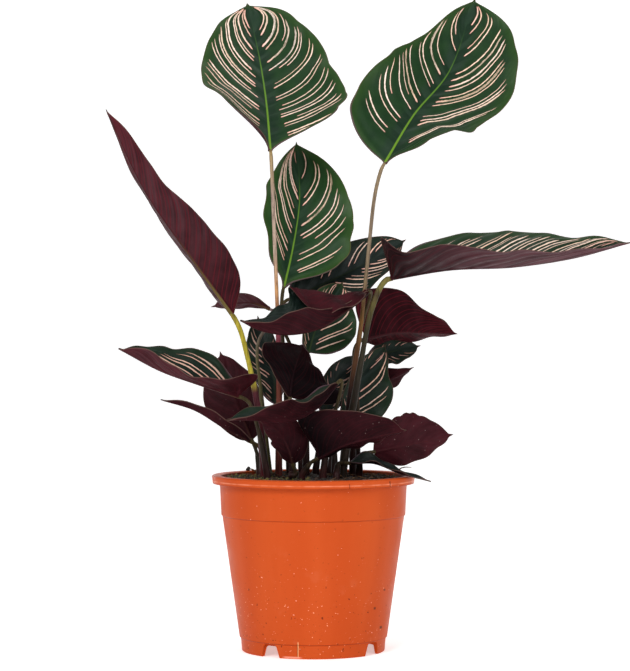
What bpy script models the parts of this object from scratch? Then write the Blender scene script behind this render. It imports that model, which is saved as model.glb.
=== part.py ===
"""Pinstripe calathea in its orange nursery pot, standing on the floor at z = 0.

The plant is a clump of single leaves.  Each leaf has a stalk that rises from the
soil and a blade that hangs on the stalk's thickened end.  A blade is a thin skin
whose two halves are bent out from its midrib, with waved margins.

Lengths are in metres.  The leaf table is in millimetres from the pot's axis at
floor level, and its angles are in degrees.
"""

import math
from collections import namedtuple

import bmesh
import bpy
import numpy as np

MM = 0.001
GAP = 0.3 * MM

# The origin lies under the middle of the whole plant's spread, beside the pot's axis
POT_AXIS_X = -42.3 * MM
POT_AXIS_Y = -4.5 * MM

# Pot: a thin moulded cup with a lipped rim, a step under it and a notched foot ring
POT_SIDES = 60
POT_HEIGHT = 146 * MM
RIM_RADIUS = 85 * MM
RIM_DEPTH = 8 * MM
RIM_TAPER = 1.0 * MM
NECK_RADIUS = 78.2 * MM
STEP_HEIGHT = 113 * MM
STEP_RADIUS = 76.8 * MM
STEP_INSET = 0.8 * MM
LEDGE_HEIGHT = 11.5 * MM
LEDGE_RADIUS = 61.6 * MM
FOOT_RADIUS_TOP = 60.6 * MM
FOOT_RADIUS = 59.6 * MM
POT_WALL = 1.4 * MM
BASE_UNDERSIDE = 9.5 * MM
BASE_THICKNESS = 1.6 * MM
NOTCH_ANGLES = (-36, 54, 144, 234)
NOTCH_WIDTH_TOP = 11 * MM
NOTCH_WIDTH_BOTTOM = 18 * MM
NOTCH_HEIGHT = 9 * MM
DRAIN_HOLES = 8
DRAIN_HOLE_RADIUS = 4 * MM
DRAIN_CIRCLE_RADIUS = 42 * MM

# Soil: fills the pot to just under the rim, a little higher round the stalks
SOIL_EDGE_HEIGHT = 140.5 * MM
SOIL_MOUND = 4.5 * MM
SOIL_ROUGHNESS = 1.3 * MM
SOIL_RINGS = (74, 62, 48, 34, 20, 8)
STALK_HOLE_DEPTH = 26 * MM
SOIL_SEED = 7

# Blades and stalks
BLADE_THICKNESS = 0.75 * MM
KEEL_AT_BASE = 1.7 * MM
KEEL_AT_TIP = 0.2 * MM
ROOT_HALF_WIDTH = 1.5 * MM
STALK_SIDES = 6
STALK_RINGS_ABOVE = 8
COLLAR_STRAIGHT = 9 * MM
ARC_STEPS = 24
CREST_SPREAD = 0.26

# Places along a blade, from base to tip, where the leaf table gives half widths
WIDTH_STATIONS = (0.05, 0.13, 0.25, 0.42, 0.6, 0.8, 0.94)
EVEN_STATIONS = (0.1, 0.2, 0.3, 0.4, 0.5, 0.6, 0.7, 0.8, 0.9)

# One row per leaf.
#   root: where the stalk stands in the soil.  stalk: points that it passes.
#   midrib: points from the blade's base to its tip.
#   face: compass angle of the upper side about the midrib, where 0 is the right of
#     someone who walks up the midrib as the front shows it, 90 the front, 180 the left
#     and 270 the back.  This and the next angles stand at even places from base to tip.
#   fold: angle between the two halves, 180 where they lie flat.
#   curl_right, curl_left: how far each half turns up from midrib to margin.
#   crest: 0 where a half turns up evenly, or the share of its width where it turns over
#     and hangs down as a flap.
#   right, left: half widths at the seven width stations, or at nine even places.
#   wave: height of the margin's waves, their number and where they start.
#   lobe: how far the base lobes reach back past the stalk, as a share of their width.
#   radii: the stalk in the soil, at the sheath's end and at the blade.
#   sheath: share of the stalk that the sheath covers.
#   rows, columns: faces along the blade and across each half.
Leaf = namedtuple(
    "Leaf",
    "name root stalk midrib face fold right left curl_right curl_left crest wave lobe radii sheath"
    " rows columns",
    defaults=((0, 0, 0), (0, 0, 0), 0, (1.5, 3, 0.0), 0.25, (2.9, 1.7, 1.5), 0.4, 9, 3),
)

LEAVES = (
    Leaf("01", root=(-29, 8), stalk=((-29, 12, 250), (-31, 17, 301), (-34, 15, 376)),
         midrib=((-36, 12, 418), (-40, 40, 460), (-47, 72, 504), (-58, 104, 553)),
         face=(92, 90, 84), fold=(160, 172, 170),
         right=(12, 50, 69, 61, 56, 41, 20), left=(9, 24, 42, 50, 51, 39, 20),
         curl_right=(10, 8, 5), curl_left=(120, 10, 5), wave=(1.5, 4, 0.3), rows=12, columns=4),
    Leaf("02", root=(24, -2), stalk=((32, -8, 224), (39, -10, 264), (43, -6, 303), (48, 0, 350)),
         midrib=((60, 5, 407), (85, 30, 449), (116, 58, 488), (140, 84, 554)),
         face=(90, 92, 95), fold=(172, 168, 165),
         right=(8, 22, 37, 50, 58, 48, 26), left=(25, 46, 52, 50, 44, 27, 11),
         curl_right=(90, 12, 8), curl_left=(5, 8, 10), wave=(1.5, 4, 0.0), rows=12, columns=4),
    Leaf("03", root=(-20, 20), stalk=((-25, 26, 247), (-27, 30, 275)),
         midrib=((-25, 32, 303), (-18, 46, 335), (-12, 66, 379), (-15, 92, 430)),
         face=(78, 78, 85), fold=(145, 140, 150),
         right=(7, 28, 46, 48, 43, 28, 10), left=(5, 18, 28, 36, 34, 22, 8),
         curl_right=(8, 5, 5), curl_left=(10, 8, 5), wave=(1.2, 4, 0.5), rows=11, columns=4),
    Leaf("04", root=(-40, -8), stalk=((-49, -10, 219), (-56, -12, 249)),
         midrib=((-67, -12, 280), (-102, -18, 329), (-137, -14, 379), (-172, 4, 449)),
         face=(305, 305, 300), fold=(110, 105, 110),
         right=(15, 23, 27, 24, 18, 11, 6), left=(14, 24, 28, 24, 18, 11, 6),
         curl_right=(20, 15, 10), curl_left=(25, 12, 10), wave=(1.0, 3, 0.2), rows=12, columns=4,
         radii=(3.6, 2.0, 2.0), sheath=0.55),
    Leaf("05", root=(24, -16), stalk=((33, -18, 205), (41, -22, 249), (48, -24, 285), (54, -24, 300)),
         midrib=((64, -22, 310), (110, -34, 317), (165, -44, 319), (213, -46, 326), (257, -40, 338)),
         face=(163, 165, 171), fold=(114, 119, 135),
         right=(46, 38, 37, 37, 35, 24, 12), left=(18, 32, 40, 46, 43, 25, 12),
         curl_right=(100, 20, 30, 12, 5, 5, 5, 5, 5), curl_left=(0, -10, 0), wave=(1.2, 5, 0.1),
         rows=14, columns=4, lobe=0.2, radii=(3.6, 2.2, 2.3), sheath=0.5),
    Leaf("06", root=(-10, 32), stalk=((-14, 42, 241),),
         midrib=((-20, 48, 294), (10, 56, 307), (42, 64, 323), (78, 70, 344)),
         face=(110, 106, 100), fold=(150, 155, 150),
         right=(10, 18, 24, 27, 25, 18, 9), left=(10, 18, 24, 26, 24, 17, 8),
         curl_right=(10, 10, 40), curl_left=(0, 0, 0)),
    Leaf("07", root=(33, 10), stalk=((34, 2, 225), (38, -4, 262), (43, -2, 282)),
         midrib=((44, -16, 298), (26, -36, 283), (4, -52, 269), (-23, -60, 264), (-45, -58, 268),
                 (-57, -50, 274)),
         face=(-2, -2, 5), fold=(70, 60, 80),
         right=(22, 56, 78, 60, 36, 36, 32, 24, 14), left=(2, 3, 5.5, 12, 22, 8.5, 2),
         curl_right=(200, 210, 215, 225, 200, 30, 15, 10, 10, 10, 10), curl_left=(10, 10, 10),
         crest=0.6, wave=(1.6, 5, 0.0), rows=14, columns=8),
    Leaf("08", root=(-6, 8), stalk=((-6, 8, 208),),
         midrib=((-4, 10, 248), (1, 14, 265), (11, 24, 285), (24, 36, 306)),
         face=(72, 75, 80), fold=(130, 135, 140),
         right=(14, 24, 31, 33, 29, 18, 8), left=(8, 14, 18, 20, 18, 14, 6),
         curl_right=(5, 5, 5), curl_left=(20, 10, 0)),
    Leaf("09", root=(37, 15), stalk=((37, 14, 208),),
         midrib=((44, 15, 260), (69, 38, 265), (96, 61, 265), (123, 82, 264)),
         face=(240, 240, 245), fold=(112, 110, 120),
         right=(26, 38, 41, 37, 26, 14, 8), left=(8, 14, 22, 26, 22, 12, 6),
         curl_right=(10, 10, 10), curl_left=(10, 10, 10), rows=11, columns=4, lobe=0.3),
    Leaf("10", root=(-17, -22), stalk=((-18, -24, 184),),
         midrib=((-19, -30, 211), (-17, -28, 227), (-13, -16, 242), (-9, 4, 253)),
         face=(272, 270, 268), fold=(160, 165, 160),
         right=(4, 8, 14, 22, 31, 28, 12), left=(32, 42, 39, 29, 19, 11, 5),
         curl_right=(0, 0, -20), curl_left=(10, 5, 0), wave=(1.5, 3, 0.4), columns=4),
    Leaf("11", root=(-38, -21), stalk=((-47, -22, 190),),
         midrib=((-62, -26, 213), (-93, -44, 223), (-123, -58, 234), (-154, -68, 251)),
         face=(10, 20, -20), fold=(90, 100, 75),
         right=(12, 20, 29, 29, 24, 19, 8), left=(26, 30, 18, 10, 12, 13, 6),
         curl_right=(0, 0, 0), curl_left=(20, 20, 10), wave=(1.2, 4, 0.2), rows=10, columns=4,
         lobe=0.5),
    Leaf("12", root=(-45, 18), stalk=(),
         midrib=((-52, 24, 174), (-62, 28, 198), (-71, 34, 220), (-79, 44, 246)),
         face=(270, 268, 268), fold=(165, 160, 160),
         right=(8, 14, 20, 25, 26, 18, 8), left=(8, 14, 18, 22, 22, 16, 7)),
    Leaf("13", root=(-42, 3), stalk=(),
         midrib=((-53, -4, 175), (-73, -12, 186), (-98, -18, 201), (-123, -24, 209)),
         face=(330, 335, 335), fold=(110, 115, 120),
         right=(7, 12, 16, 18, 16, 11, 5), left=(3, 5, 7, 8, 7, 5, 2)),
    Leaf("14", root=(8, -34), stalk=((14, -38, 189), (22, -44, 214)),
         midrib=((18, -50, 223), (2, -64, 204), (-19, -76, 194), (-46, -80, 195), (-67, -74, 195)),
         face=(0, 0, 10), fold=(100, 100, 100),
         right=(10, 16, 22, 24, 20, 14, 9), left=(4, 6, 10, 15, 27, 7, 2),
         curl_right=(0, 0, 0), curl_left=(10, 10, 10), wave=(1.0, 4, 0.6), rows=11, columns=4),
    Leaf("15", root=(-20, -34), stalk=(),
         midrib=((-17, -36, 157), (-20, -41, 169), (-27, -40, 182), (-42, -28, 191)),
         face=(272, 270, 270), fold=(150, 150, 150),
         right=(4, 7, 9, 11, 11, 8, 4), left=(8, 13, 17, 19, 17, 11, 5), columns=2),
    Leaf("16", root=(-9, -36), stalk=(),
         midrib=((5, -45, 163), (23, -59, 173), (46, -71, 180), (72, -75, 186)),
         face=(236, 232, 230), fold=(110, 112, 115),
         right=(30, 36, 34, 28, 23, 15, 8), left=(8, 14, 18, 20, 18, 12, 6),
         curl_right=(0, 10, 40), curl_left=(0, 0, 0), rows=10, lobe=0.3),
    Leaf("17", root=(19, -29), stalk=(),
         midrib=((30, -28, 158), (48, -32, 160), (73, -34, 154), (94, -32, 144)),
         face=(140, 140, 140), fold=(150, 150, 150),
         right=(4, 7, 10, 11, 10, 7, 3), left=(4, 8, 12, 13, 12, 8, 4), columns=2),
    Leaf("18", root=(18, 18), stalk=(),
         midrib=((23, 26, 184), (33, 32, 209), (45, 39, 235), (61, 48, 253)),
         face=(82, 82, 85), fold=(150, 150, 155),
         right=(12, 22, 29, 32, 29, 18, 8), left=(4, 6, 8, 10, 10, 7, 3)),
    Leaf("19", root=(34, 38), stalk=((41, 44, 199),),
         midrib=((47, 58, 243), (62, 66, 247), (77, 74, 250), (91, 80, 253)),
         face=(110, 110, 110), fold=(150, 150, 150),
         right=(5, 9, 12, 13, 12, 8, 4), left=(4, 7, 10, 11, 10, 7, 3), columns=2),
    Leaf("20", root=(14, 30), stalk=(),
         midrib=((38, 59, 210), (53, 61, 219), (70, 61, 227), (84, 59, 234)),
         face=(250, 250, 250), fold=(120, 120, 120),
         right=(6, 10, 13, 14, 11, 5, 2), left=(6, 10, 14, 16, 14, 7, 3), columns=2),
    Leaf("21", root=(-38, 26), stalk=((-44, 16, 215), (-46, 20, 263)),
         midrib=((-37, 34, 285), (-50, 32, 290), (-66, 28, 290), (-84, 24, 287)),
         face=(300, 300, 300), fold=(140, 140, 140),
         right=(2, 4, 7, 7.5, 8, 5, 2.5), left=(2, 3, 5, 7.5, 8, 6, 3), wave=(0.5, 3, 0.0), columns=2,
         radii=(3.0, 1.5, 1.3)),
    Leaf("22", root=(-29, 22), stalk=(),
         midrib=((-32, 34, 204), (-34, 36, 229), (-40, 40, 252), (-47, 46, 277)),
         face=(90, 90, 90), fold=(160, 160, 160),
         right=(4, 7, 9, 10, 10, 8, 4), left=(6, 11, 15, 19, 19, 14, 7)),
    Leaf("23", root=(38, -10), stalk=(),
         midrib=((50, -16, 166), (70, -12, 170), (92, -6, 174), (114, 0, 179)),
         face=(262, 262, 262), fold=(150, 150, 150),
         right=(8, 14, 20, 24, 24, 16, 7), left=(8, 12, 16, 18, 16, 10, 5)),
    Leaf("24", root=(2, 22), stalk=(),
         midrib=((10, 31, 195), (14, 35, 214), (21, 41, 229), (34, 49, 245)),
         face=(85, 85, 85), fold=(160, 160, 160),
         right=(6, 10, 14, 17, 17, 12, 6), left=(5, 8, 10, 11, 10, 7, 3), columns=2),
)


def clear_scene():
    """Remove every object that is in the file."""
    for item in list(bpy.data.objects):
        bpy.data.objects.remove(item, do_unlink=True)


def finish(name, color, roughness):
    """A plain Principled material."""
    material = bpy.data.materials.new(name)
    material.use_nodes = True
    shader = material.node_tree.nodes["Principled BSDF"]
    shader.inputs["Base Color"].default_value = (*color, 1)
    shader.inputs["Roughness"].default_value = roughness
    shader.inputs["Metallic"].default_value = 0
    material.diffuse_color = (*color, 1)
    return material


def place(name, points, faces, materials, parent, face_materials=None):
    """An object from points and faces, with its normals made consistent, on its parent."""
    mesh = bpy.data.meshes.new(name)
    mesh.from_pydata([tuple(map(float, point)) for point in points], [], faces)
    for material in materials:
        mesh.materials.append(material)
    if face_materials is not None:
        mesh.polygons.foreach_set("material_index", face_materials)
    mesh.update()
    item = bpy.data.objects.new(name, mesh)
    bpy.context.scene.collection.objects.link(item)
    item.parent = parent
    return item


def turned(name, profile, sides, materials, parent):
    """A closed solid of revolution: the closed profile of (radius, height) points spun about Z."""
    mesh = bmesh.new()
    ring = [mesh.verts.new((radius, 0, height)) for radius, height in profile]
    edges = [mesh.edges.new((a, b)) for a, b in zip(ring, ring[1:] + ring[:1])]
    bmesh.ops.spin(mesh, geom=ring + edges, axis=(0, 0, 1), cent=(0, 0, 0), angle=2 * math.pi,
                   steps=sides, use_duplicate=False)
    bmesh.ops.remove_doubles(mesh, verts=mesh.verts, dist=0.01 * MM)
    bmesh.ops.recalc_face_normals(mesh, faces=mesh.faces)
    data = bpy.data.meshes.new(name)
    mesh.to_mesh(data)
    mesh.free()
    for material in materials:
        data.materials.append(material)
    data.shade_smooth()
    data.set_sharp_from_angle(angle=math.radians(35))
    item = bpy.data.objects.new(name, data)
    bpy.context.scene.collection.objects.link(item)
    item.parent = parent
    return item


def prism(name, outline, bottom, top, parent):
    """A cutter: a flat outline of (x, y) points raised from bottom to top."""
    count = len(outline)
    points = [(x, y, bottom) for x, y in outline] + [(x, y, top) for x, y in outline]
    faces = [tuple(range(count))[::-1], tuple(range(count, 2 * count))]
    faces += [(i, (i + 1) % count, count + (i + 1) % count, count + i) for i in range(count)]
    item = place(name, points, faces, (), parent)
    item.hide_render = True
    item.display_type = "WIRE"
    return item


def cut(item, cutters):
    """Take a collection of cutters out of a piece with one Boolean."""
    group = bpy.data.collections.new(item.name + "_cutters")
    bpy.context.scene.collection.children.link(group)
    for cutter in cutters:
        bpy.context.scene.collection.objects.unlink(cutter)
        group.objects.link(cutter)
    boolean = item.modifiers.new("cuts", "BOOLEAN")
    boolean.operation = "DIFFERENCE"
    boolean.solver = "EXACT"
    boolean.operand_type = "COLLECTION"
    boolean.collection = group


def wall_radius(height):
    """The pot's outer radius at a height between the ledge and the neck, with its small step."""
    if height <= STEP_HEIGHT:
        share = (height - LEDGE_HEIGHT) / (STEP_HEIGHT - LEDGE_HEIGHT)
        return LEDGE_RADIUS + share * (STEP_RADIUS - STEP_INSET - LEDGE_RADIUS)
    share = (height - STEP_HEIGHT) / (POT_HEIGHT - RIM_DEPTH - STEP_HEIGHT)
    return STEP_RADIUS + share * (NECK_RADIUS - STEP_RADIUS)


def build_pot(material, parent):
    """The cup, turned as one closed section, with four foot notches and a ring of drain holes."""
    rim_bottom = POT_HEIGHT - RIM_DEPTH
    lip = 0.9 * MM
    step = 0.8 * MM
    base_top = BASE_UNDERSIDE + BASE_THICKNESS
    outside = [
        (FOOT_RADIUS, 0),
        (FOOT_RADIUS_TOP, LEDGE_HEIGHT - 0.4 * MM),
        (LEDGE_RADIUS, LEDGE_HEIGHT),
        (wall_radius(STEP_HEIGHT - step), STEP_HEIGHT - step),
        (wall_radius(STEP_HEIGHT + 0.01 * MM), STEP_HEIGHT + 0.01 * MM),
        (wall_radius(rim_bottom + 1.6 * MM), rim_bottom + 1.6 * MM),
        (RIM_RADIUS - RIM_TAPER - POT_WALL, rim_bottom + 1.6 * MM),
        (RIM_RADIUS - RIM_TAPER - POT_WALL, rim_bottom),
        (RIM_RADIUS - RIM_TAPER, rim_bottom),
        (RIM_RADIUS, POT_HEIGHT - lip),
        (RIM_RADIUS - lip, POT_HEIGHT),
    ]
    inside = [
        (wall_radius(rim_bottom) - POT_WALL, POT_HEIGHT - 0.8 * MM),
        (wall_radius(STEP_HEIGHT + 0.01 * MM) - POT_WALL, STEP_HEIGHT),
        (wall_radius(STEP_HEIGHT - step) - POT_WALL, STEP_HEIGHT - step),
        (wall_radius(base_top + 4 * MM) - POT_WALL, base_top + 4 * MM),
        (LEDGE_RADIUS - 5 * MM, base_top),
        (0, base_top),
        (0, BASE_UNDERSIDE),
        (FOOT_RADIUS_TOP - POT_WALL - 2 * MM, BASE_UNDERSIDE),
        (FOOT_RADIUS - POT_WALL - 0.4 * MM, 0),
    ]
    pot = turned("pot", outside + inside, POT_SIDES, (material,), parent)
    cutters = []
    for number, angle in enumerate(NOTCH_ANGLES):
        cutters.append(notch_cutter(f"notch_{number}", angle, parent))
    for number in range(DRAIN_HOLES):
        angle = 2 * math.pi * (number + 0.5) / DRAIN_HOLES
        center = (DRAIN_CIRCLE_RADIUS * math.cos(angle), DRAIN_CIRCLE_RADIUS * math.sin(angle))
        cutters.append(prism(f"drain_{number}", circle(center, DRAIN_HOLE_RADIUS, 12),
                             BASE_UNDERSIDE - 2 * MM, base_top + 2 * MM, parent))
    cut(pot, cutters)
    return pot


def notch_cutter(name, angle, parent):
    """A round-shouldered notch through the foot ring, at an angle from the front."""
    reach = (FOOT_RADIUS - 9 * MM, FOOT_RADIUS + 6 * MM)
    shoulder = 2.5 * MM
    half_top = NOTCH_WIDTH_TOP / 2
    half_bottom = NOTCH_WIDTH_BOTTOM / 2
    outline = [
        (-half_bottom, -2 * MM), (half_bottom, -2 * MM), (half_top + 0.8 * MM, NOTCH_HEIGHT - shoulder),
        (half_top - shoulder, NOTCH_HEIGHT), (shoulder - half_top, NOTCH_HEIGHT),
        (-half_top - 0.8 * MM, NOTCH_HEIGHT - shoulder),
    ]
    turn = math.radians(angle - 90)
    out = np.array((math.cos(turn), math.sin(turn), 0))
    along = np.array((-math.sin(turn), math.cos(turn), 0))
    points = [out * r + along * u + np.array((0, 0, z)) for r in reach for u, z in outline]
    count = len(outline)
    faces = [tuple(range(count))[::-1], tuple(range(count, 2 * count))]
    faces += [(i, (i + 1) % count, count + (i + 1) % count, count + i) for i in range(count)]
    item = place(name, points, faces, (), parent)
    item.hide_render = True
    item.display_type = "WIRE"
    return item


def circle(center, radius, sides):
    """Points of a regular outline round a centre."""
    angles = [2 * math.pi * i / sides for i in range(sides)]
    return [(center[0] + radius * math.cos(a), center[1] + radius * math.sin(a)) for a in angles]


def soil_height(x, y):
    """The soil's top: a low mound under the clump."""
    distance = math.hypot(x, y) / (wall_radius(SOIL_EDGE_HEIGHT - 4 * MM) - POT_WALL)
    return SOIL_EDGE_HEIGHT + SOIL_MOUND * (1 - distance ** 2) ** 2 if distance < 1 else SOIL_EDGE_HEIGHT


def build_soil(material, parent):
    """The root ball: it fills the pot, with a rough mounded top and a plain hole for each stalk."""
    sides = POT_SIDES
    base_top = BASE_UNDERSIDE + BASE_THICKNESS
    step = 0.8 * MM
    profile = [
        (LEDGE_RADIUS - 5 * MM - GAP, base_top + GAP),
        (wall_radius(base_top + 4 * MM) - POT_WALL - 2 * GAP, base_top + 4 * MM + GAP),
        (wall_radius(STEP_HEIGHT - step) - POT_WALL - GAP, STEP_HEIGHT - step),
        (wall_radius(STEP_HEIGHT + step) - POT_WALL - GAP, STEP_HEIGHT + step),
        (wall_radius(SOIL_EDGE_HEIGHT - 4 * MM) - POT_WALL - GAP, SOIL_EDGE_HEIGHT),
    ]
    draw = np.random.default_rng(SOIL_SEED)
    points = []
    rings = [[(radius, height)] * sides for radius, height in profile]
    rings += [[(radius * MM, None)] * sides for radius in SOIL_RINGS]
    for number, ring in enumerate(rings):
        for side, (radius, height) in enumerate(ring):
            angle = 2 * math.pi * side / sides
            x, y = radius * math.cos(angle), radius * math.sin(angle)
            if height is None:
                height = soil_height(x, y) + SOIL_ROUGHNESS * draw.uniform(-1, 1)
            points.append((x, y, height))
    faces = [tuple(range(sides))[::-1]]
    for number in range(len(rings) - 1):
        for side in range(sides):
            a, b = number * sides + side, number * sides + (side + 1) % sides
            faces.append((a, b, b + sides, a + sides))
    faces.append(tuple(range((len(rings) - 1) * sides, len(rings) * sides)))
    soil = place("soil", points, faces, (material,), parent)
    cutters = []
    for leaf in LEAVES:
        root = (leaf.root[0] * MM, leaf.root[1] * MM)
        radius = leaf.radii[0] * MM + 1.2 * GAP
        floor = soil_height(*root) - STALK_HOLE_DEPTH
        cutters.append(prism("hole_" + leaf.name, circle(root, radius, STALK_SIDES), floor - GAP,
                             POT_HEIGHT + 20 * MM, parent))
    cut(soil, cutters)
    return soil


def smooth(knots, values, at):
    """A smooth curve through values at knots, read at the given places.

    Each stretch is a cubic whose end slopes are the slopes between the neighbours."""
    knots = np.asarray(knots, float)
    values = np.asarray(values, float)
    at = np.asarray(at, float)
    slopes = np.gradient(values, knots, axis=0)
    place_in = np.clip(np.searchsorted(knots, at, side="right") - 1, 0, len(knots) - 2)
    width = knots[place_in + 1] - knots[place_in]
    share = (at - knots[place_in]) / width
    extra = (1,) * (values.ndim - 1)
    u = share.reshape(share.shape + extra)
    width = width.reshape(width.shape + extra)
    start, end = values[place_in], values[place_in + 1]
    return ((1 + 2 * u) * (1 - u) ** 2 * start + u * (1 - u) ** 2 * width * slopes[place_in]
            + u ** 2 * (3 - 2 * u) * end + u ** 2 * (u - 1) * width * slopes[place_in + 1])


def unit(vectors):
    """Vectors scaled to length one."""
    return vectors / np.linalg.norm(vectors, axis=-1, keepdims=True)


def line_frame(points, places):
    """Points on the smooth line through some points, with its direction, right side and front.

    The right side is level with the picture plane, square to the line."""
    points = np.asarray(points, float)
    steps = np.linalg.norm(np.diff(points, axis=0), axis=1)
    knots = np.concatenate(([0], np.cumsum(steps))) / steps.sum()
    middle = smooth(knots, points, places)
    delta = 1e-3
    ahead = unit(smooth(knots, points, places + delta) - smooth(knots, points, places - delta))
    right = unit(np.cross((0, 1, 0), ahead))
    front = np.cross(right, ahead)
    return middle, ahead, right, front


def evenly(values, along):
    """A smooth curve through values that stand at even places from base to tip."""
    return smooth(np.linspace(0, 1, len(values)), values, along)


def half_width(widths, along):
    """A half's width along the blade, from its stalk's width at the base to nothing at the tip."""
    inner = WIDTH_STATIONS if len(widths) == len(WIDTH_STATIONS) else EVEN_STATIONS
    return np.maximum(smooth((0, *inner, 1), (ROOT_HALF_WIDTH / MM, *widths, 0), along), 0) * MM


def turned_share(reach, crest):
    """The share of its turn that a half has made at a share of its way out: the same share
    where it turns evenly, and a smooth step at the crest where it turns over there."""
    if crest == 0:
        return reach
    share = np.clip((reach - crest) / CREST_SPREAD + 0.5, 0, 1)
    return share * share * (3 - 2 * share)


def blade_surface(leaf, along, across):
    """The blade's upper skin and its upward normals, on a grid.

    along runs from 0 at the base to 1 at the tip, and across from -1 at the left margin
    to 1 at the right.  Each half leaves the midrib at the fold's angle and turns up on its
    way to its margin: its place is its width times the mean direction of that way.  The
    margin's waves grow with the square of the distance across."""
    middle, ahead, right, front = line_frame(np.array(leaf.midrib) * MM, along)
    t = np.asarray(across)[None, :]
    s = np.asarray(along)[:, None]
    side = np.where(t >= 0, 1.0, -1.0)
    half = np.where(t >= 0, half_width(leaf.right, along)[:, None],
                    half_width(leaf.left, along)[:, None])
    face = np.radians(evenly(leaf.face, along))[:, None]
    fold = np.radians(evenly(leaf.fold, along))[:, None]
    curl = np.radians(np.where(t >= 0, evenly(leaf.curl_right, along)[:, None],
                               evenly(leaf.curl_left, along)[:, None]))
    reach = np.abs(t)
    start = face - side * fold / 2
    path = (np.arange(ARC_STEPS) + 0.5) / ARC_STEPS
    share = turned_share(reach[..., None] * path, leaf.crest)
    turn = start[..., None] + (side * curl)[..., None] * share
    sideways = half * reach * np.cos(turn).mean(-1)
    forwards = half * reach * np.sin(turn).mean(-1)
    up = start + side * curl * turned_share(reach, leaf.crest) + side * np.pi / 2
    up = np.where(reach > 0, up, face)
    normal = np.cos(up)[..., None] * right[:, None] + np.sin(up)[..., None] * front[:, None]
    height, count, begin = leaf.wave
    rise = height * MM * reach ** 2 * np.sin(2 * np.pi * (count * s + begin + 0.3 * side))
    rise = rise * np.clip(half / (12 * MM), 0, 1)
    back = leaf.lobe * np.maximum(half - ROOT_HALF_WIDTH, 0) * reach ** 2 * (1 - s) ** 8
    skin = (middle[:, None] + sideways[..., None] * right[:, None] + forwards[..., None] * front[:, None]
            + rise[..., None] * normal - back[..., None] * ahead[:, None])
    return skin, normal


def build_blade(leaf, upper, under, parent):
    """A closed blade: the upper skin, the same grid set down by the thickness, and the edge.

    Under the midrib the skin is thicker, as a keel that fades towards the tip.  Both
    faces are split along the same diagonals, so they never cross."""
    even = np.linspace(0, 1, leaf.rows + 1)
    along = 0.45 * even + 0.55 * (0.5 - 0.5 * np.cos(np.pi * even))
    outer = np.linspace(0, 1, leaf.columns + 1)[1:] ** 0.9
    across = np.concatenate((-outer[::-1], (0,), outer))
    skin, normal = blade_surface(leaf, along, across)
    keel = (KEEL_AT_TIP + (KEEL_AT_BASE - KEEL_AT_TIP) * (1 - along) ** 2)[:, None]
    fold = np.radians(evenly(leaf.fold, along))[:, None]
    depth = np.where(np.abs(across)[None, :] > 0, BLADE_THICKNESS,
                     BLADE_THICKNESS / np.sin(fold / 2) + keel)
    floor = skin - depth[..., None] * normal
    rows, columns = len(along) - 1, len(across)
    tip = rows * columns
    top = np.concatenate((skin[:-1].reshape(-1, 3), skin[-1, columns // 2][None]))
    bottom = np.concatenate((floor[:-1].reshape(-1, 3), floor[-1, columns // 2][None]))
    shift = len(top)
    triangles = []
    for row in range(rows - 1):
        for column in range(columns - 1):
            a = row * columns + column
            b, c, d = a + 1, a + columns + 1, a + columns
            if column < columns // 2:
                triangles += [(a, b, c), (a, c, d)]
            else:
                triangles += [(a, b, d), (b, c, d)]
    last = (rows - 1) * columns
    triangles += [(last + column, last + column + 1, tip) for column in range(columns - 1)]
    faces = triangles + [(c + shift, b + shift, a + shift) for a, b, c in triangles]
    border = list(range(columns))
    border += [row * columns + columns - 1 for row in range(1, rows)] + [tip]
    border += [row * columns for row in range(rows - 1, 0, -1)]
    for a, b in zip(border, border[1:] + border[:1]):
        faces += [(b, a, a + shift), (b, a + shift, b + shift)]
    kinds = [0] * len(triangles) + [1] * (len(faces) - len(triangles))
    blade = place("blade_" + leaf.name, np.concatenate((top, bottom)), faces, (upper, under), parent,
                  kinds)
    blade.data.shade_smooth()
    return blade


def stalk_line(leaf):
    """The stalk's points: up from the soil, through the table's points, to the blade's base.

    It stops one gap short of the blade and runs straight into it over the collar."""
    base, ahead, right, front = line_frame(np.array(leaf.midrib) * MM, np.array((0.0,)))
    face = math.radians(leaf.face[0])
    up = math.cos(face) * right[0] + math.sin(face) * front[0]
    center = base[0] - 0.45 * (BLADE_THICKNESS + KEEL_AT_BASE) * up
    root = np.array((leaf.root[0] * MM, leaf.root[1] * MM, 0))
    top = soil_height(root[0], root[1])
    above = root + (0, 0, top + 4 * MM)
    points = [above] + [np.array(point) * MM for point in leaf.stalk]
    points += [center - (GAP + COLLAR_STRAIGHT) * ahead[0], center - GAP * ahead[0]]
    return root + (0, 0, top - STALK_HOLE_DEPTH), np.array(points)


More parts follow.
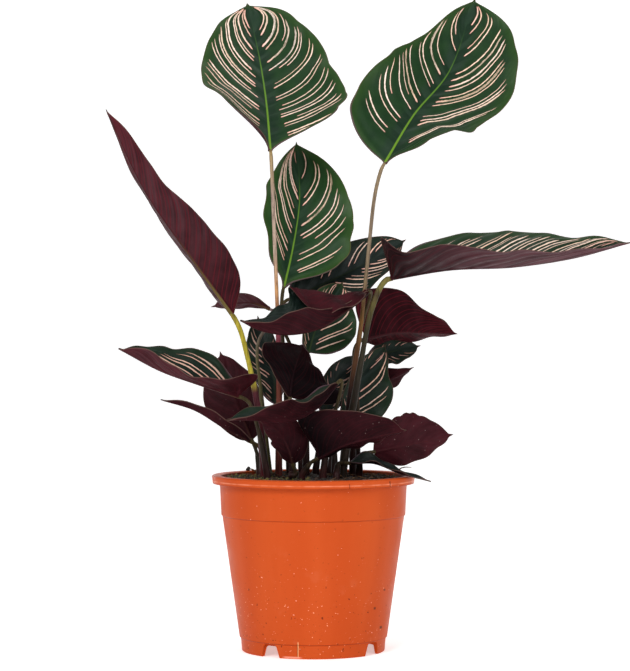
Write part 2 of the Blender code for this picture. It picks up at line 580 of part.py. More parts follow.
def build_stalk(leaf, material, parent):
    """A closed stalk: rings of a few sides along its line, wide at the sheath, with flat ends."""
    foot, points = stalk_line(leaf)
    places = np.linspace(0, 1, STALK_RINGS_ABOVE)
    middle, ahead, right, front = line_frame(points, places)
    ahead[0], right[0], front[0] = (0, 0, 1), (1, 0, 0), (0, -1, 0)
    wide, slim, end = leaf.radii
    radius = np.interp(places, (0, leaf.sheath, min(leaf.sheath + 0.12, 0.85), 0.9, 1),
                       (wide, slim + 0.6, slim, end, end)) * MM
    middle = np.concatenate((foot[None], middle))
    right = np.concatenate((right[:1], right))
    front = np.concatenate((front[:1], front))
    radius = np.concatenate((radius[:1], radius))
    angles = 2 * np.pi * np.arange(STALK_SIDES) / STALK_SIDES
    rings = middle[:, None] + radius[:, None, None] * (np.cos(angles)[None, :, None] * right[:, None]
                                                       - np.sin(angles)[None, :, None] * front[:, None])
    count, sides = len(middle), STALK_SIDES
    faces = [tuple(range(sides))[::-1], tuple(range((count - 1) * sides, count * sides))]
    for ring in range(count - 1):
        for side in range(sides):
            a, b = ring * sides + side, ring * sides + (side + 1) % sides
            faces += [(a, b, b + sides), (a, b + sides, a + sides)]
    stalk = place("stalk_" + leaf.name, rings.reshape(-1, 3), faces, (material,), parent)
    stalk.data.shade_smooth()
    return stalk


clear_scene()
stand = bpy.data.objects.new("pot_axis", None)
stand.location = (POT_AXIS_X, POT_AXIS_Y, 0)
bpy.context.scene.collection.objects.link(stand)

pot_plastic = finish("pot_plastic", (0.62, 0.11, 0.03), 0.45)
compost = finish("compost", (0.035, 0.022, 0.014), 0.95)
leaf_green = finish("leaf_green", (0.016, 0.05, 0.024), 0.4)
leaf_purple = finish("leaf_purple", (0.07, 0.012, 0.02), 0.5)
stalk_brown = finish("stalk_brown", (0.16, 0.08, 0.04), 0.5)

build_pot(pot_plastic, stand)
build_soil(compost, stand)
for leaf in LEAVES:
    build_blade(leaf, leaf_green, leaf_purple, stand)
    build_stalk(leaf, stalk_brown, stand)
bpy.context.view_layer.update()
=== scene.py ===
"""Pinstripe calathea in its orange nursery pot: the looks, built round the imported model.

The plant is put together as it stands: pot, compost, blades, stalks, then the studio.
Lengths in the tables are in millimetres from the pot's axis at floor level.
"""

import math
from collections import namedtuple

import bmesh
import bpy
import numpy as np
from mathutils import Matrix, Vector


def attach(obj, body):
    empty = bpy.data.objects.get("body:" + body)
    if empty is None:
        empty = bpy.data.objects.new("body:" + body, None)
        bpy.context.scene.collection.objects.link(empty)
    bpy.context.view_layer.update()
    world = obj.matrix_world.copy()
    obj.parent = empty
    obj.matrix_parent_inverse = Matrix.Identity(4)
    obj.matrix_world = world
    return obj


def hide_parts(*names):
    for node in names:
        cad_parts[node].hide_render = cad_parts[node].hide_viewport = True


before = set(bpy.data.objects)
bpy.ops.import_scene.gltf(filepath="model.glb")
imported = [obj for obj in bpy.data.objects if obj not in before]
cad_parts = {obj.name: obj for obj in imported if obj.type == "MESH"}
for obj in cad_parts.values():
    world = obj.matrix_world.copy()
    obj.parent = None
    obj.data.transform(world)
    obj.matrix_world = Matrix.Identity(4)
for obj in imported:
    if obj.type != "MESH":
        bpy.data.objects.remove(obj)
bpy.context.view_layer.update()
bpy.context.scene.view_settings.view_transform = "Standard"


# The nursery pot
# A thin cup injection moulded in orange polypropylene: a lipped rim that stiffens the
# mouth, a small step under it where pots nest, and a foot ring with four drain notches.

MM = 0.001
POT_AXIS = np.array((-42.3, -4.5, 0)) * MM
POT_SIDES = 288
POT_CORNER = 0.35
CORNER_POINTS = 4
POT_LONGEST = 7.0
POT_OUTSIDE = (
    (0, 9.5), (57.2, 9.5), (57.8, 0.4), (58.2, 0), (59.2, 0), (59.6, 0.4), (60.5, 10.9), (60.9, 11.4),
    (61.6, 11.6), (75.9, 112.2), (76.8, 112.9), (78.1, 140.6), (82.6, 140.6), (82.7, 139.2), (84, 139.2),
    (84.8, 144.6), (84.5, 145.5), (83.6, 146),
)
POT_INSIDE = (
    (77.6, 145.8), (76.8, 145), (75.4, 113), (74.4, 112.2), (61, 16), (56.6, 11.1), (0, 11.1),
)
SHARP_EDGE = 40

# A notch is cut twice: from each start, at each share of its outline, out past the foot ring
NOTCH_ANGLES = (-36, 54, 144, 234)
NOTCH_OUTLINE = (
    (-9.4, -2), (9.4, -2), (8, 3.5), (6.8, 8), (6.2, 9.6), (5, 10.7), (3.6, 11), (-3.6, 11), (-5, 10.7),
    (-6.2, 9.6), (-6.8, 8), (-8, 3.5),
)
NOTCH_CUTS = ((54, 0.84), (57.3, 1))
NOTCH_END = 66
DRAIN_HOLES = 8
DRAIN_CIRCLE = 42
DRAIN_RADIUS = 4
DRAIN_SIDES = 32
DRAIN_HEIGHTS = (7, 14)
WELD = 0.003

# Levels painted with shade under the ledge, the step and the lip, and the height of a painted
# highlight along the lip, then lines on the front: place across, lowest and highest point, half
# width, colour.  The first two are cracks in the lip, which wander, the next two the moulding
# seam, the fifth a painted highlight on the foot, and the last three are spots of dirt.
SHADE_LEVELS = (11.5, 112.4, 139.4)
LIP_SHINE = 141.6
CRACKS = 2
LINE_END = 0.4 * MM
LINES = (
    (29.3, 139.2, 143.5, 0.5, (96, 34, 14)), (62.1, 139.2, 144.5, 0.55, (84, 30, 14)),
    (-12.3, 1.4, 14.3, 0.45, (232, 176, 120)), (-12.9, 1.4, 13, 0.35, (120, 40, 16)),
    # The fifth line, across -17, is a painted highlight on the foot
    (-17, 0.3, 2.2, 9, (236, 150, 124)), (50.2, 38.2, 40.6, 1.2, (92, 46, 26)),
    (55.5, 21.1, 23.7, 1.3, (78, 46, 28)), (58.4, 52.6, 54.6, 1, (100, 44, 22)),
)


def pigment(red, green, blue):
    """A colour from 0 to 255 per channel, as the linear colour a shader takes."""
    share = np.array((red, green, blue)) / 255
    linear = np.where(share <= 0.04045, share / 12.92, ((share + 0.055) / 1.055) ** 2.4)
    return (*map(float, linear), 1.0)


class Finish:
    """A material being mixed: most calls add one node and give back its output.  Coats of
    colour go one over the other, and the last is what shows."""

    def __init__(self, name, **sockets):
        self.material = bpy.data.materials.new(name)
        self.material.use_nodes = True
        self.tree = self.material.node_tree
        self.shader = self.tree.nodes["Principled BSDF"]
        for socket, value in sockets.items():
            self.put(value, self.shader.inputs[socket.replace("_", " ")])

    def put(self, value, socket):
        """Link an output into a socket, or set a plain value: a pigment where it takes a colour."""
        if isinstance(value, bpy.types.NodeSocket):
            self.tree.links.new(value, socket)
        else:
            socket.default_value = pigment(*value) if socket.type == "RGBA" else value

    def node(self, kind, inputs=(), **settings):
        """Any node, with its settings, and its inputs by name or number."""
        made = self.tree.nodes.new(kind)
        for key, value in settings.items():
            setattr(made, key, value)
        for key, value in dict(inputs).items():
            self.put(value, made.inputs[key])
        return made

    def reckon(self, kind, *values):
        """One arithmetic step on plain numbers."""
        return self.node("ShaderNodeMath", enumerate(values), operation=kind).outputs[0]

    def times(self, product, *values):
        """The product of all the numbers."""
        for value in values:
            product = self.reckon("MULTIPLY", product, value)
        return product

    def gap(self, a, b):
        """How far apart two numbers are."""
        return self.reckon("ABSOLUTE", self.reckon("SUBTRACT", a, b))

    def fade(self, value, start, end, low=0.0, high=1.0):
        """A soft step: low before start, high after end, and smooth between."""
        return self.node("ShaderNodeMapRange", enumerate((value, start, end, low, high)),
                         interpolation_type="SMOOTHSTEP").outputs[0]

    def parts(self, vector=None):
        """A vector's three numbers; without one, where the surface point is, in metres."""
        if vector is None:
            vector = self.node("ShaderNodeTexCoord").outputs["Object"]
        return self.node("ShaderNodeSeparateXYZ", {0: vector}).outputs

    def noise(self, scale, detail, stretch=(1, 1, 1)):
        """Cloudy noise from 0 to 1, finer with a larger scale."""
        spot = self.node("ShaderNodeTexCoord").outputs["Object"]
        spot = self.node("ShaderNodeMapping", {0: spot, 3: stretch}).outputs[0]
        made = self.node("ShaderNodeTexNoise", {"Vector": spot, "Scale": scale, "Detail": detail})
        return made.outputs["Fac"]

    def blend(self, share, a, b, way="MIX"):
        """Two colours mixed by a share."""
        return self.node("ShaderNodeMix", {0: share, 6: a, 7: b}, data_type="RGBA", blend_type=way,
                         clamp_factor=True).outputs[2]

    def coat(self, color, *shares):
        """Lay a colour over the coats so far, by the product of its shares."""
        self.coats = self.blend(self.times(*shares), self.coats, color) if shares else color
        self.put(self.coats, self.shader.inputs["Base Color"])

    def dull(self, scale, detail, low, high):
        """Roughness that drifts between two values."""
        drift = self.fade(self.noise(scale, detail), 0.3, 0.7, low, high)
        self.put(drift, self.shader.inputs["Roughness"])

    def bump(self, height, strength, distance):
        """Fine relief on the shader's normal."""
        made = self.node("ShaderNodeBump", {"Height": height, "Strength": strength, "Distance": distance})
        self.put(made.outputs[0], self.shader.inputs["Normal"])


def add_piece(name, points, faces, materials=(), kinds=None, smooth=True):
    """An object at the origin whose mesh holds the points, given in millimetres from the pot's
    axis, and the faces as they stand."""
    mesh = bpy.data.meshes.new(name)
    mesh.from_pydata((points * MM + POT_AXIS).tolist(), [], faces)
    for material in materials:
        mesh.materials.append(material)
    if kinds is not None:
        mesh.polygons.foreach_set("material_index", kinds.astype(np.int32))
    mesh.polygons.foreach_set("use_smooth", np.full(len(mesh.polygons), smooth))
    mesh.update()
    item = bpy.data.objects.new(name, mesh)
    bpy.context.scene.collection.objects.link(item)
    return item


def stand_for(item, nodes):
    """The piece rides on the one body and replaces its CAD nodes."""
    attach(item, "root")
    if nodes:
        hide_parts(*nodes)


def soften(corners):
    """A profile with each inner corner replaced by a short quadratic curve, whose ends lie
    the corner's reach away along both sides, or a third of a side that is shorter."""
    corners = np.array(corners, float)
    line = [corners[:1]]
    share = np.linspace(0, 1, CORNER_POINTS)[:, None]
    for before, corner, after in zip(corners, corners[1:], corners[2:]):
        start, end = (corner + side * min(POT_CORNER / np.linalg.norm(side), 0.33)
                      for side in (before - corner, after - corner))
        line.append((1 - share) ** 2 * start + 2 * share * (1 - share) * corner + share ** 2 * end)
    return np.concatenate((*line, corners[-1:]))


def split_long(line, longest):
    """A profile whose long sides are cut into equal parts no longer than given."""
    parts = [line[:1]]
    for a, b in zip(line, line[1:]):
        count = max(1, math.ceil(np.linalg.norm(b - a) / longest))
        parts.append(a + (b - a) * np.linspace(0, 1, count + 1)[1:, None])
    return np.concatenate(parts)


def circle(sides):
    """The cosines and sines of even angles round a circle."""
    angle = 2 * np.pi * np.arange(sides) / sides
    return np.cos(angle), np.sin(angle)


def net(rows, columns, closed=True):
    """The quads of a grid of points, row by row; closed, the last column joins the first."""
    row = np.arange(rows - 1)[:, None] * columns
    side = np.arange(columns if closed else columns - 1)
    here, beside = row + side, row + (side + 1) % columns
    return np.stack((here, beside, beside + columns, here + columns), -1).reshape(-1, 4)


def turned(radius, height, sides, bottom, top):
    """A closed turned surface: a ring round the axis for each radius, at one height or at one
    for each side, and a pole on the axis at each end."""
    rings = np.stack(np.broadcast_arrays(*(radius * turn for turn in circle(sides)), height), -1)
    points = np.concatenate((((0, 0, bottom),), rings.reshape(-1, 3), ((0, 0, top),)))
    side = np.arange(sides)
    after = (side + 1) % sides
    last = len(points) - 1 - sides
    faces = (net(len(rings), sides) + 1).tolist()
    faces += np.stack((0 * side, 1 + after, 1 + side), 1).tolist()
    faces += np.stack((0 * side + last + sides, last + side, last + after), 1).tolist()
    return points, faces


def bar_between(outline, start, end, across, up):
    """A straight bar: a flat outline, in the across and up directions, from start to end."""
    section = outline[:, :1] * across + outline[:, 1:] * up
    ring = np.arange(len(outline))
    faces = [ring[::-1].tolist(), (ring + len(ring)).tolist(), *net(2, len(ring)).tolist()]
    return add_piece("cutter", np.concatenate((section + start, section + end)), faces)


def bored(item, cutters):
    """Take the cutters out of a piece with one Boolean on their collection, apply it, and merge
    the points that it leaves doubled where a cutter's corner meets an edge of the piece."""
    group = bpy.data.collections.new("cutters")
    bpy.context.scene.collection.children.link(group)
    for cutter in cutters:
        bpy.context.scene.collection.objects.unlink(cutter)
        group.objects.link(cutter)
    boolean = item.modifiers.new("bore", "BOOLEAN")
    boolean.operation = "DIFFERENCE"
    boolean.solver = "EXACT"
    boolean.operand_type = "COLLECTION"
    boolean.collection = group
    mesh = bpy.data.meshes.new_from_object(item.evaluated_get(bpy.context.evaluated_depsgraph_get()))
    shell = bmesh.new()
    shell.from_mesh(mesh)
    bmesh.ops.remove_doubles(shell, verts=shell.verts, dist=WELD * MM)
    bmesh.ops.dissolve_degenerate(shell, edges=shell.edges, dist=WELD * MM)
    shell.to_mesh(mesh)
    shell.free()
    item.modifiers.clear()
    item.data = mesh
    for cutter in cutters:
        bpy.data.objects.remove(cutter)
    bpy.data.collections.remove(group)


def pot_plastic():
    """Orange polypropylene: almost even, with faint clouding, a rub of pale dust, dark and pale
    specks that gather towards the foot, painted shade under the ledge, step and lip and on the
    inner wall under the rim, a painted highlight along the lip and one on the foot, a moulding
    seam in the foot, two cracks in the front of the lip, and the lip paler in blotches towards
    its left and right."""
    mix = Finish("pot_plastic", Specular_IOR_Level=0.05)
    x, y, height = mix.parts()
    across, deep = (mix.reckon("SUBTRACT", value, axis) for value, axis in zip((x, y), POT_AXIS))
    mix.coat((184, 72, 27))
    mix.coat((191, 79, 33), mix.fade(mix.noise(30, 3, (1, 1, 0.06)), 0.3, 0.7))
    mix.coat((206, 128, 92), mix.fade(mix.noise(60, 5), 0.58, 0.76), mix.fade(height, 0.146, 0.0, 0.04, 0.14))
    mix.coat((104, 42, 22), mix.fade(mix.noise(300, 2), 0.7, 0.73), mix.fade(height, 0.13, 0.0, 0.25, 1.0))
    mix.coat((245, 190, 160), mix.fade(mix.noise(410, 2, (1, 1, 1.3)), 0.745, 0.775), 0.7)
    foot = mix.fade(height, 0.1, 0.03, 0.0, 0.8)
    for scale, color in ((560, (244, 180, 138)), (610, (112, 46, 24))):
        mix.coat(color, mix.fade(mix.noise(scale, 1), 0.73, 0.77), foot)
    # Painted shade in thin bands under the ledge, the step and the lip, then a painted highlight along the
    # lip
    for level in SHADE_LEVELS:
        mix.coat((120, 38, 12), mix.fade(mix.gap(height, level * MM), 0.0007, 0.0, 0.0, 0.55))
    mix.coat((236, 150, 116), mix.fade(mix.gap(height, LIP_SHINE * MM), 0.0009, 0.0),
             mix.fade(mix.noise(90, 3, (1, 1, 0.2)), 0.3, 0.62, 0.1, 0.6))
    front = mix.fade(deep, -0.02, -0.03)
    wander = mix.reckon("MULTIPLY_ADD", mix.noise(220, 3), 0.004, -0.002)
    for number, line in enumerate(LINES):
        place, low, high, width = (value * MM for value in line[:4])
        middle = mix.reckon("SUBTRACT", place, wander) if number < CRACKS else place
        mix.coat(line[4], mix.fade(mix.gap(across, middle), width, width * 0.5), front,
                 mix.fade(height, low, low + LINE_END), mix.fade(height, high, high - LINE_END), 0.85)
    # Painted shade: the inside of the wall darker under the rim
    radius = mix.reckon("SQRT", mix.reckon("MULTIPLY_ADD", across, across, mix.times(deep, deep)))
    mix.coat((84, 34, 18), mix.fade(radius, 0.0772, 0.0768), mix.fade(height, 0.128, 0.135, 0.0, 0.7))
    mix.coat((226, 184, 176), mix.fade(mix.reckon("ABSOLUTE", across), 0.0795, 0.0835),
             mix.fade(height, 0.1395, 0.1405), mix.fade(mix.noise(300, 3), 0.46, 0.6), 0.8)
    mix.dull(35, 4, 0.32, 0.46)
    mix.bump(mix.noise(260, 3), 0.12, 0.0002)
    return mix.material


profile = split_long(np.concatenate((soften(POT_OUTSIDE), soften(POT_INSIDE))), POT_LONGEST)
radius, height = profile[1:-1].T[..., None]
cup = turned(radius, height, POT_SIDES, profile[0, 1], profile[-1, 1])
pot = add_piece("nursery_pot", *cup, (pot_plastic(),))
cutters = []
for angle in NOTCH_ANGLES:
    cos, sin = math.cos(math.radians(angle - 90)), math.sin(math.radians(angle - 90))
    out, along = np.array((cos, sin, 0)), np.array((-sin, cos, 0))
    for start, share in NOTCH_CUTS:
        outline = np.array(NOTCH_OUTLINE) * share
        cutters.append(bar_between(outline, out * start, out * NOTCH_END, along, (0, 0, 1)))
for number in range(DRAIN_HOLES):
    angle = 2 * math.pi * (number + 0.5) / DRAIN_HOLES
    place = DRAIN_CIRCLE * math.cos(angle), DRAIN_CIRCLE * math.sin(angle)
    low, high = ((*place, level) for level in DRAIN_HEIGHTS)
    outline = DRAIN_RADIUS * np.stack(circle(DRAIN_SIDES), 1)
    cutters.append(bar_between(outline, low, high, (1, 0, 0), (0, 1, 0)))
bored(pot, cutters)
pot.data.polygons.foreach_set("use_smooth", np.full(len(pot.data.polygons), True))
pot.data.set_sharp_from_angle(angle=math.radians(SHARP_EDGE))
stand_for(pot, ("pot",))


# The compost
# Peat with bark fibre, watered until it has sunk a little under the rim.  Its top is crumbly,
# with moss on one side and loose bark strands on the other, and it grips every stalk.

SOIL_BODY = (
    (0, 11.4), (56.3, 11.4), (60.4, 15.4), (74.1, 112.2), (75.2, 113.8), (76.3, 139.5), (76.4, 141.6),
)
SOIL_LONGEST = 12
SOIL_EDGE = 142.8
SOIL_MOUND = 2.4
SOIL_RADIUS = 76.4
SOIL_RINGS = 120
SOIL_SIDES = 300
HASH_FACTORS = (73856093, 19349663, 83492791)
HASH_LIMIT = 0x7FFFFFFF
CRUMBS = 900
MOSS_TUFTS = 240
FIBRES = 90
FIBRE_SIDES = 5
FIBRE_STEPS = 7


def lattice(points, size, seed):
    """Smooth random values from -1 to 1: each corner of a cubic lattice of the given size has
    a number hashed from its place, and a point blends its eight corners' numbers."""
    scaled = np.asarray(points, float) / size
    cell = np.floor(scaled).astype(np.int64)
    share = scaled - cell
    share = share * share * (3 - 2 * share)
    total = np.zeros(scaled.shape[:-1])
    for corner in range(8):
        step = np.array((corner & 1, corner >> 1 & 1, corner >> 2))
        code = np.bitwise_xor.reduce((cell + step) * HASH_FACTORS, -1) ^ seed * 2654435
        code = code & HASH_LIMIT
        code = (code ^ code >> 13) * 1274126177 & HASH_LIMIT
        value = ((code ^ code >> 16) & 0xFFFF) / 32767.5 - 1
        total += value * np.prod(np.where(step == 1, share, 1 - share), axis=-1)
    return total


def soil_top(x, y):
    """The compost's top in millimetres: a low mound with lumps of three sizes."""
    distance = np.clip(np.hypot(x, y) / SOIL_RADIUS, 0, 1)
    at = np.stack((x, y, np.zeros_like(x)), -1)
    lumps = 1.5 * lattice(at, 9, 1) + 0.9 * lattice(at, 3.4, 2) + 0.5 * lattice(at, 1.5, 3)
    return SOIL_EDGE + SOIL_MOUND * (1 - distance ** 2) ** 2 + lumps * (1 - 0.5 * distance ** 8) - 0.4


def compost_finish():
    """Dark wet peat, with browner and paler grains and a green tinge of moss on the left."""
    mix = Finish("compost", Roughness=0.9)
    mix.coat((12, 9, 8))
    mix.coat((38, 26, 19), mix.fade(mix.noise(420, 4), 0.35, 0.7))
    mix.coat((66, 48, 33), mix.fade(mix.noise(900, 2), 0.62, 0.72))
    mix.coat((48, 46, 18), mix.fade(mix.parts()[0], POT_AXIS[0] - 0.005, POT_AXIS[0] - 0.045),
             mix.fade(mix.noise(150, 3), 0.45, 0.62))
    mix.bump(mix.noise(700, 4), 0.5, 0.0006)
    return mix.material


def grain_finish(name, low, high, scale=300):
    """Matt grains that vary between two colours."""
    mix = Finish(name, Roughness=0.85)
    mix.coat(low)
    mix.coat(high, mix.fade(mix.noise(scale, 2), 0.35, 0.65))
    mix.bump(mix.noise(1200, 2), 0.4, 0.0004)
    return mix.material


body = split_long(np.array(SOIL_BODY, float), SOIL_LONGEST)
wall = len(body) - 1
inner = np.linspace(0, 1, SOIL_RINGS + 1)[-2:0:-1] ** 0.75 * SOIL_RADIUS
radius = np.concatenate((body[1:, 0], inner))[:, None]
x, y = (radius * turn for turn in circle(SOIL_SIDES))
height = np.concatenate((np.broadcast_to(body[1:, 1:], (wall, SOIL_SIDES)), soil_top(x[wall:], y[wall:])))
ground = turned(radius, height, SOIL_SIDES, body[0, 1], soil_top(0.0, 0.0))
stand_for(add_piece("compost", *ground, (compost_finish(),)), ("soil",))

draw = np.random.default_rng(11)


def on_soil(count, lowest, highest, inner, outer, sunk):
    """Random places on the compost between two bearings and two radii, sunk a little."""
    bearing = np.radians(draw.uniform(lowest, highest, count))
    radius = np.sqrt(draw.uniform(inner ** 2, outer ** 2, count))
    x, y = radius * np.cos(bearing), radius * np.sin(bearing)
    return np.stack((x, y, soil_top(x, y) - sunk), 1)


def grain_sizes(count, low, high, least):
    """Random sizes: one for each grain, and a stretch along each of its three axes."""
    return draw.uniform(low, high, (count, 1)) * draw.uniform(least, 1.2, (count, 3))


def ball():
    """A unit sphere's points and triangles: an octahedron whose faces are split in four."""
    points = np.array(((1, 0, 0), (-1, 0, 0), (0, 1, 0), (0, -1, 0), (0, 0, 1), (0, 0, -1)), float)
    faces = ((0, 2, 4), (2, 1, 4), (1, 3, 4), (3, 0, 4), (2, 0, 5), (1, 2, 5), (3, 1, 5), (0, 3, 5))
    a, b, c = points[np.array(faces).T]
    corners = np.stack((a, b, c, a + b, b + c, c + a), 1).reshape(-1, 3)
    corners /= np.linalg.norm(corners, axis=1, keepdims=True)
    points, place = np.unique(corners.round(7), axis=0, return_inverse=True)
    return points, place.reshape(-1, 6)[:, ((0, 3, 5), (3, 1, 4), (5, 4, 2), (3, 4, 5))].reshape(-1, 3)


def scatter(name, places, sizes, rough, seed, material):
    """A piece made of balls, each stretched, roughened by the lattice, turned and set in place."""
    shape, triangles = ball()
    each = np.arange(len(places))[:, None, None]
    points = shape * sizes[:, None]
    points = points * (1 + rough * lattice(shape * 1.4 + each * (7.3, 3.1, 5.7), 0.9, seed))[..., None]
    turn = draw.uniform(0, 6.3, len(places))[:, None]
    x, y, z = np.moveaxis(points, -1, 0)
    points = np.stack((np.cos(turn) * x - np.sin(turn) * y, np.sin(turn) * x + np.cos(turn) * y, z), -1)
    faces = (triangles + each * len(shape)).reshape(-1, 3).tolist()
    item = add_piece(name, (points + places[:, None]).reshape(-1, 3), faces, (material,), smooth=False)
    stand_for(item, ())


places = on_soil(CRUMBS, 0, 360, 2, 73.5, 0.1)
sizes = grain_sizes(CRUMBS, 0.5, 1.9, 0.6)
# One crumb lies on the rim, at the back on the left
places[-1], sizes[-1] = (-56.3, 58, 146.8), (2.6, 2.2, 2.4)
scatter("compost_crumbs", places, sizes, 0.45, 4, grain_finish("crumbs", (14, 10, 9), (56, 39, 28)))

places = on_soil(MOSS_TUFTS, 95, 265, 30, 74.5, 0.0)
sizes = grain_sizes(MOSS_TUFTS, 0.7, 2.3, 0.7)
scatter("moss", places, sizes, 0.6, 5, grain_finish("moss", (32, 32, 14), (106, 94, 42), 500))


def strands(places, directions, lengths, radii):
    """Thin bent sticks: a line in each direction that sags and sways along a sine, with rings
    of a few sides whose radius fades to both ends."""
    share = np.linspace(0, 1, FIBRE_STEPS)
    bearing, rise = directions.T
    ahead = np.stack((np.cos(bearing), np.sin(bearing), rise), 1)
    right = np.stack((-np.sin(bearing), np.cos(bearing), np.zeros_like(rise)), 1)
    up = np.cross(ahead, right)
    reach = lengths[:, None, None]
    sway = np.sin(share * 4 + directions[:, :1] * 5)[..., None] * reach * 0.12
    line = places[:, None] + (share[:, None] - 0.5) * reach * ahead[:, None]
    line = line + sway * (right + up)[:, None]
    thick = radii[:, None] * (0.25 + 0.75 * np.sin(np.pi * (0.1 + 0.8 * share)))
    cos, sin = (turn[:, None] for turn in circle(FIBRE_SIDES))
    ring = cos * right[:, None, None] + sin * up[:, None, None]
    points = line[:, :, None] + thick[..., None, None] * ring
    each = FIBRE_STEPS * FIBRE_SIDES * np.arange(len(places))[:, None]
    faces = (net(FIBRE_STEPS, FIBRE_SIDES) + each[..., None]).reshape(-1, 4).tolist()
    side = np.arange(FIBRE_SIDES)
    faces += (each + side[::-1]).tolist()
    faces += (each + (FIBRE_STEPS - 1) * FIBRE_SIDES + side).tolist()
    return points.reshape(-1, 3), faces


places = np.concatenate((on_soil(FIBRES, -80, 80, 25, 70, -0.9),
                         on_soil(FIBRES // 2, 100, 260, 20, 70, -0.6)))
count = len(places)
directions = np.stack((draw.uniform(0, 6.3, count), draw.uniform(-0.25, 0.45, count)), 1)
lengths, radii = draw.uniform(5, 17, count), draw.uniform(0.25, 0.6, count)
# One strand sticks out over the rim on the right, and three stand up from the moss on the left
places[-4:] = (75, 25, 148), (-52, 52, 146.5), (-47, 58, 147), (-40, 61, 146.5)
directions[-4:] = (-0.1, 0.42), (2.6, 0.6), (0.3, 0.5), (1.9, 0.7)
lengths[-4:], radii[-4:] = (16, 10, 11, 9), (0.5, 0.6, 0.5, 0.6)
bark = grain_finish("bark_strands", (42, 26, 16), (112, 78, 46))
stand_for(add_piece("bark_strands", *strands(places, directions, lengths, radii), (bark,)), ())


# The blades
# Each leaf is one thin glossy skin folded along its midrib: green above, with pairs of pale
# strokes beside the side veins, and wine red below.  It hangs on its stalk by the midrib.

BLADE_THICKNESS = 0.75
KEEL_AT_BASE = 1.7
KEEL_AT_TIP = 0.2
ROOT_HALF_WIDTH = 1.5
ARC_STEPS = 24
ROW_LENGTH = 1.2
COLUMN_WIDTH = 1.15
TRIM = 0.02
TRIM_SIZE = 13
RIPPLE = 0.45
RIPPLE_SIZE = 17
RIDGE = 0.4
QUILT = 0.16
QUILT_IN_SHEEN = 0.4
KEEL_SPREAD = 1.3
MARGIN_THINNING = 0.55
DRIP_TIP = 3.0
VEIN_GAP = 16
CREST_SPREAD = 0.26
WIDTH_STATIONS = (0.05, 0.13, 0.25, 0.42, 0.6, 0.8, 0.94)
EVEN_STATIONS = (0.1, 0.2, 0.3, 0.4, 0.5, 0.6, 0.7, 0.8, 0.9)

# One row per leaf, all read on the midrib's way from base to tip:
#   root, stalk, midrib: the points that stalk and midrib pass.
#   face: compass angle of the upper side (0 right, 90 front, 180 left, 270 back).
#   fold: angle between the halves.  curl_right, curl_left: how far each half turns up.
#     These angles stand at even places from base to tip.
#   right, left: half widths at the seven width stations, or at nine even places.
#   crest: for a half that turns over as a flap, the share of its width where it does (past 1 it
#     doesn't), at even places.
#   wave: height, number and start of the margin's waves.  lobe: reach of the base lobes.
#   radii, sheath: the stalk's thickness, and the share of it in its sheath.
#   scallops: where they begin and end in the right margin, their number and their depth.
#   tone: above, the share of fresh green, of cream in the strokes, and their strength; below,
#     the mauve painted sheen, the darkness (partly the leaf's own, partly painted shade) and how
#     olive the keel is (the veins show as much, and also below 0).  shade: painted shade, how
#     much darker the left underside is in the leaf's own shade.
Leaf = namedtuple(
    "Leaf",
    "name root stalk midrib face fold right left curl_right curl_left crest wave lobe radii sheath"
    " scallops tone shade",
    defaults=((0, 0, 0), (0, 0, 0), (), (1.5, 3, 0), 0.25, (2.9, 1.7, 1.5), 0.4,
              (0, 1, 1, 0), (0.05, 0.3, 0.6, 0.05, 0.6, 0.1), 0),
)

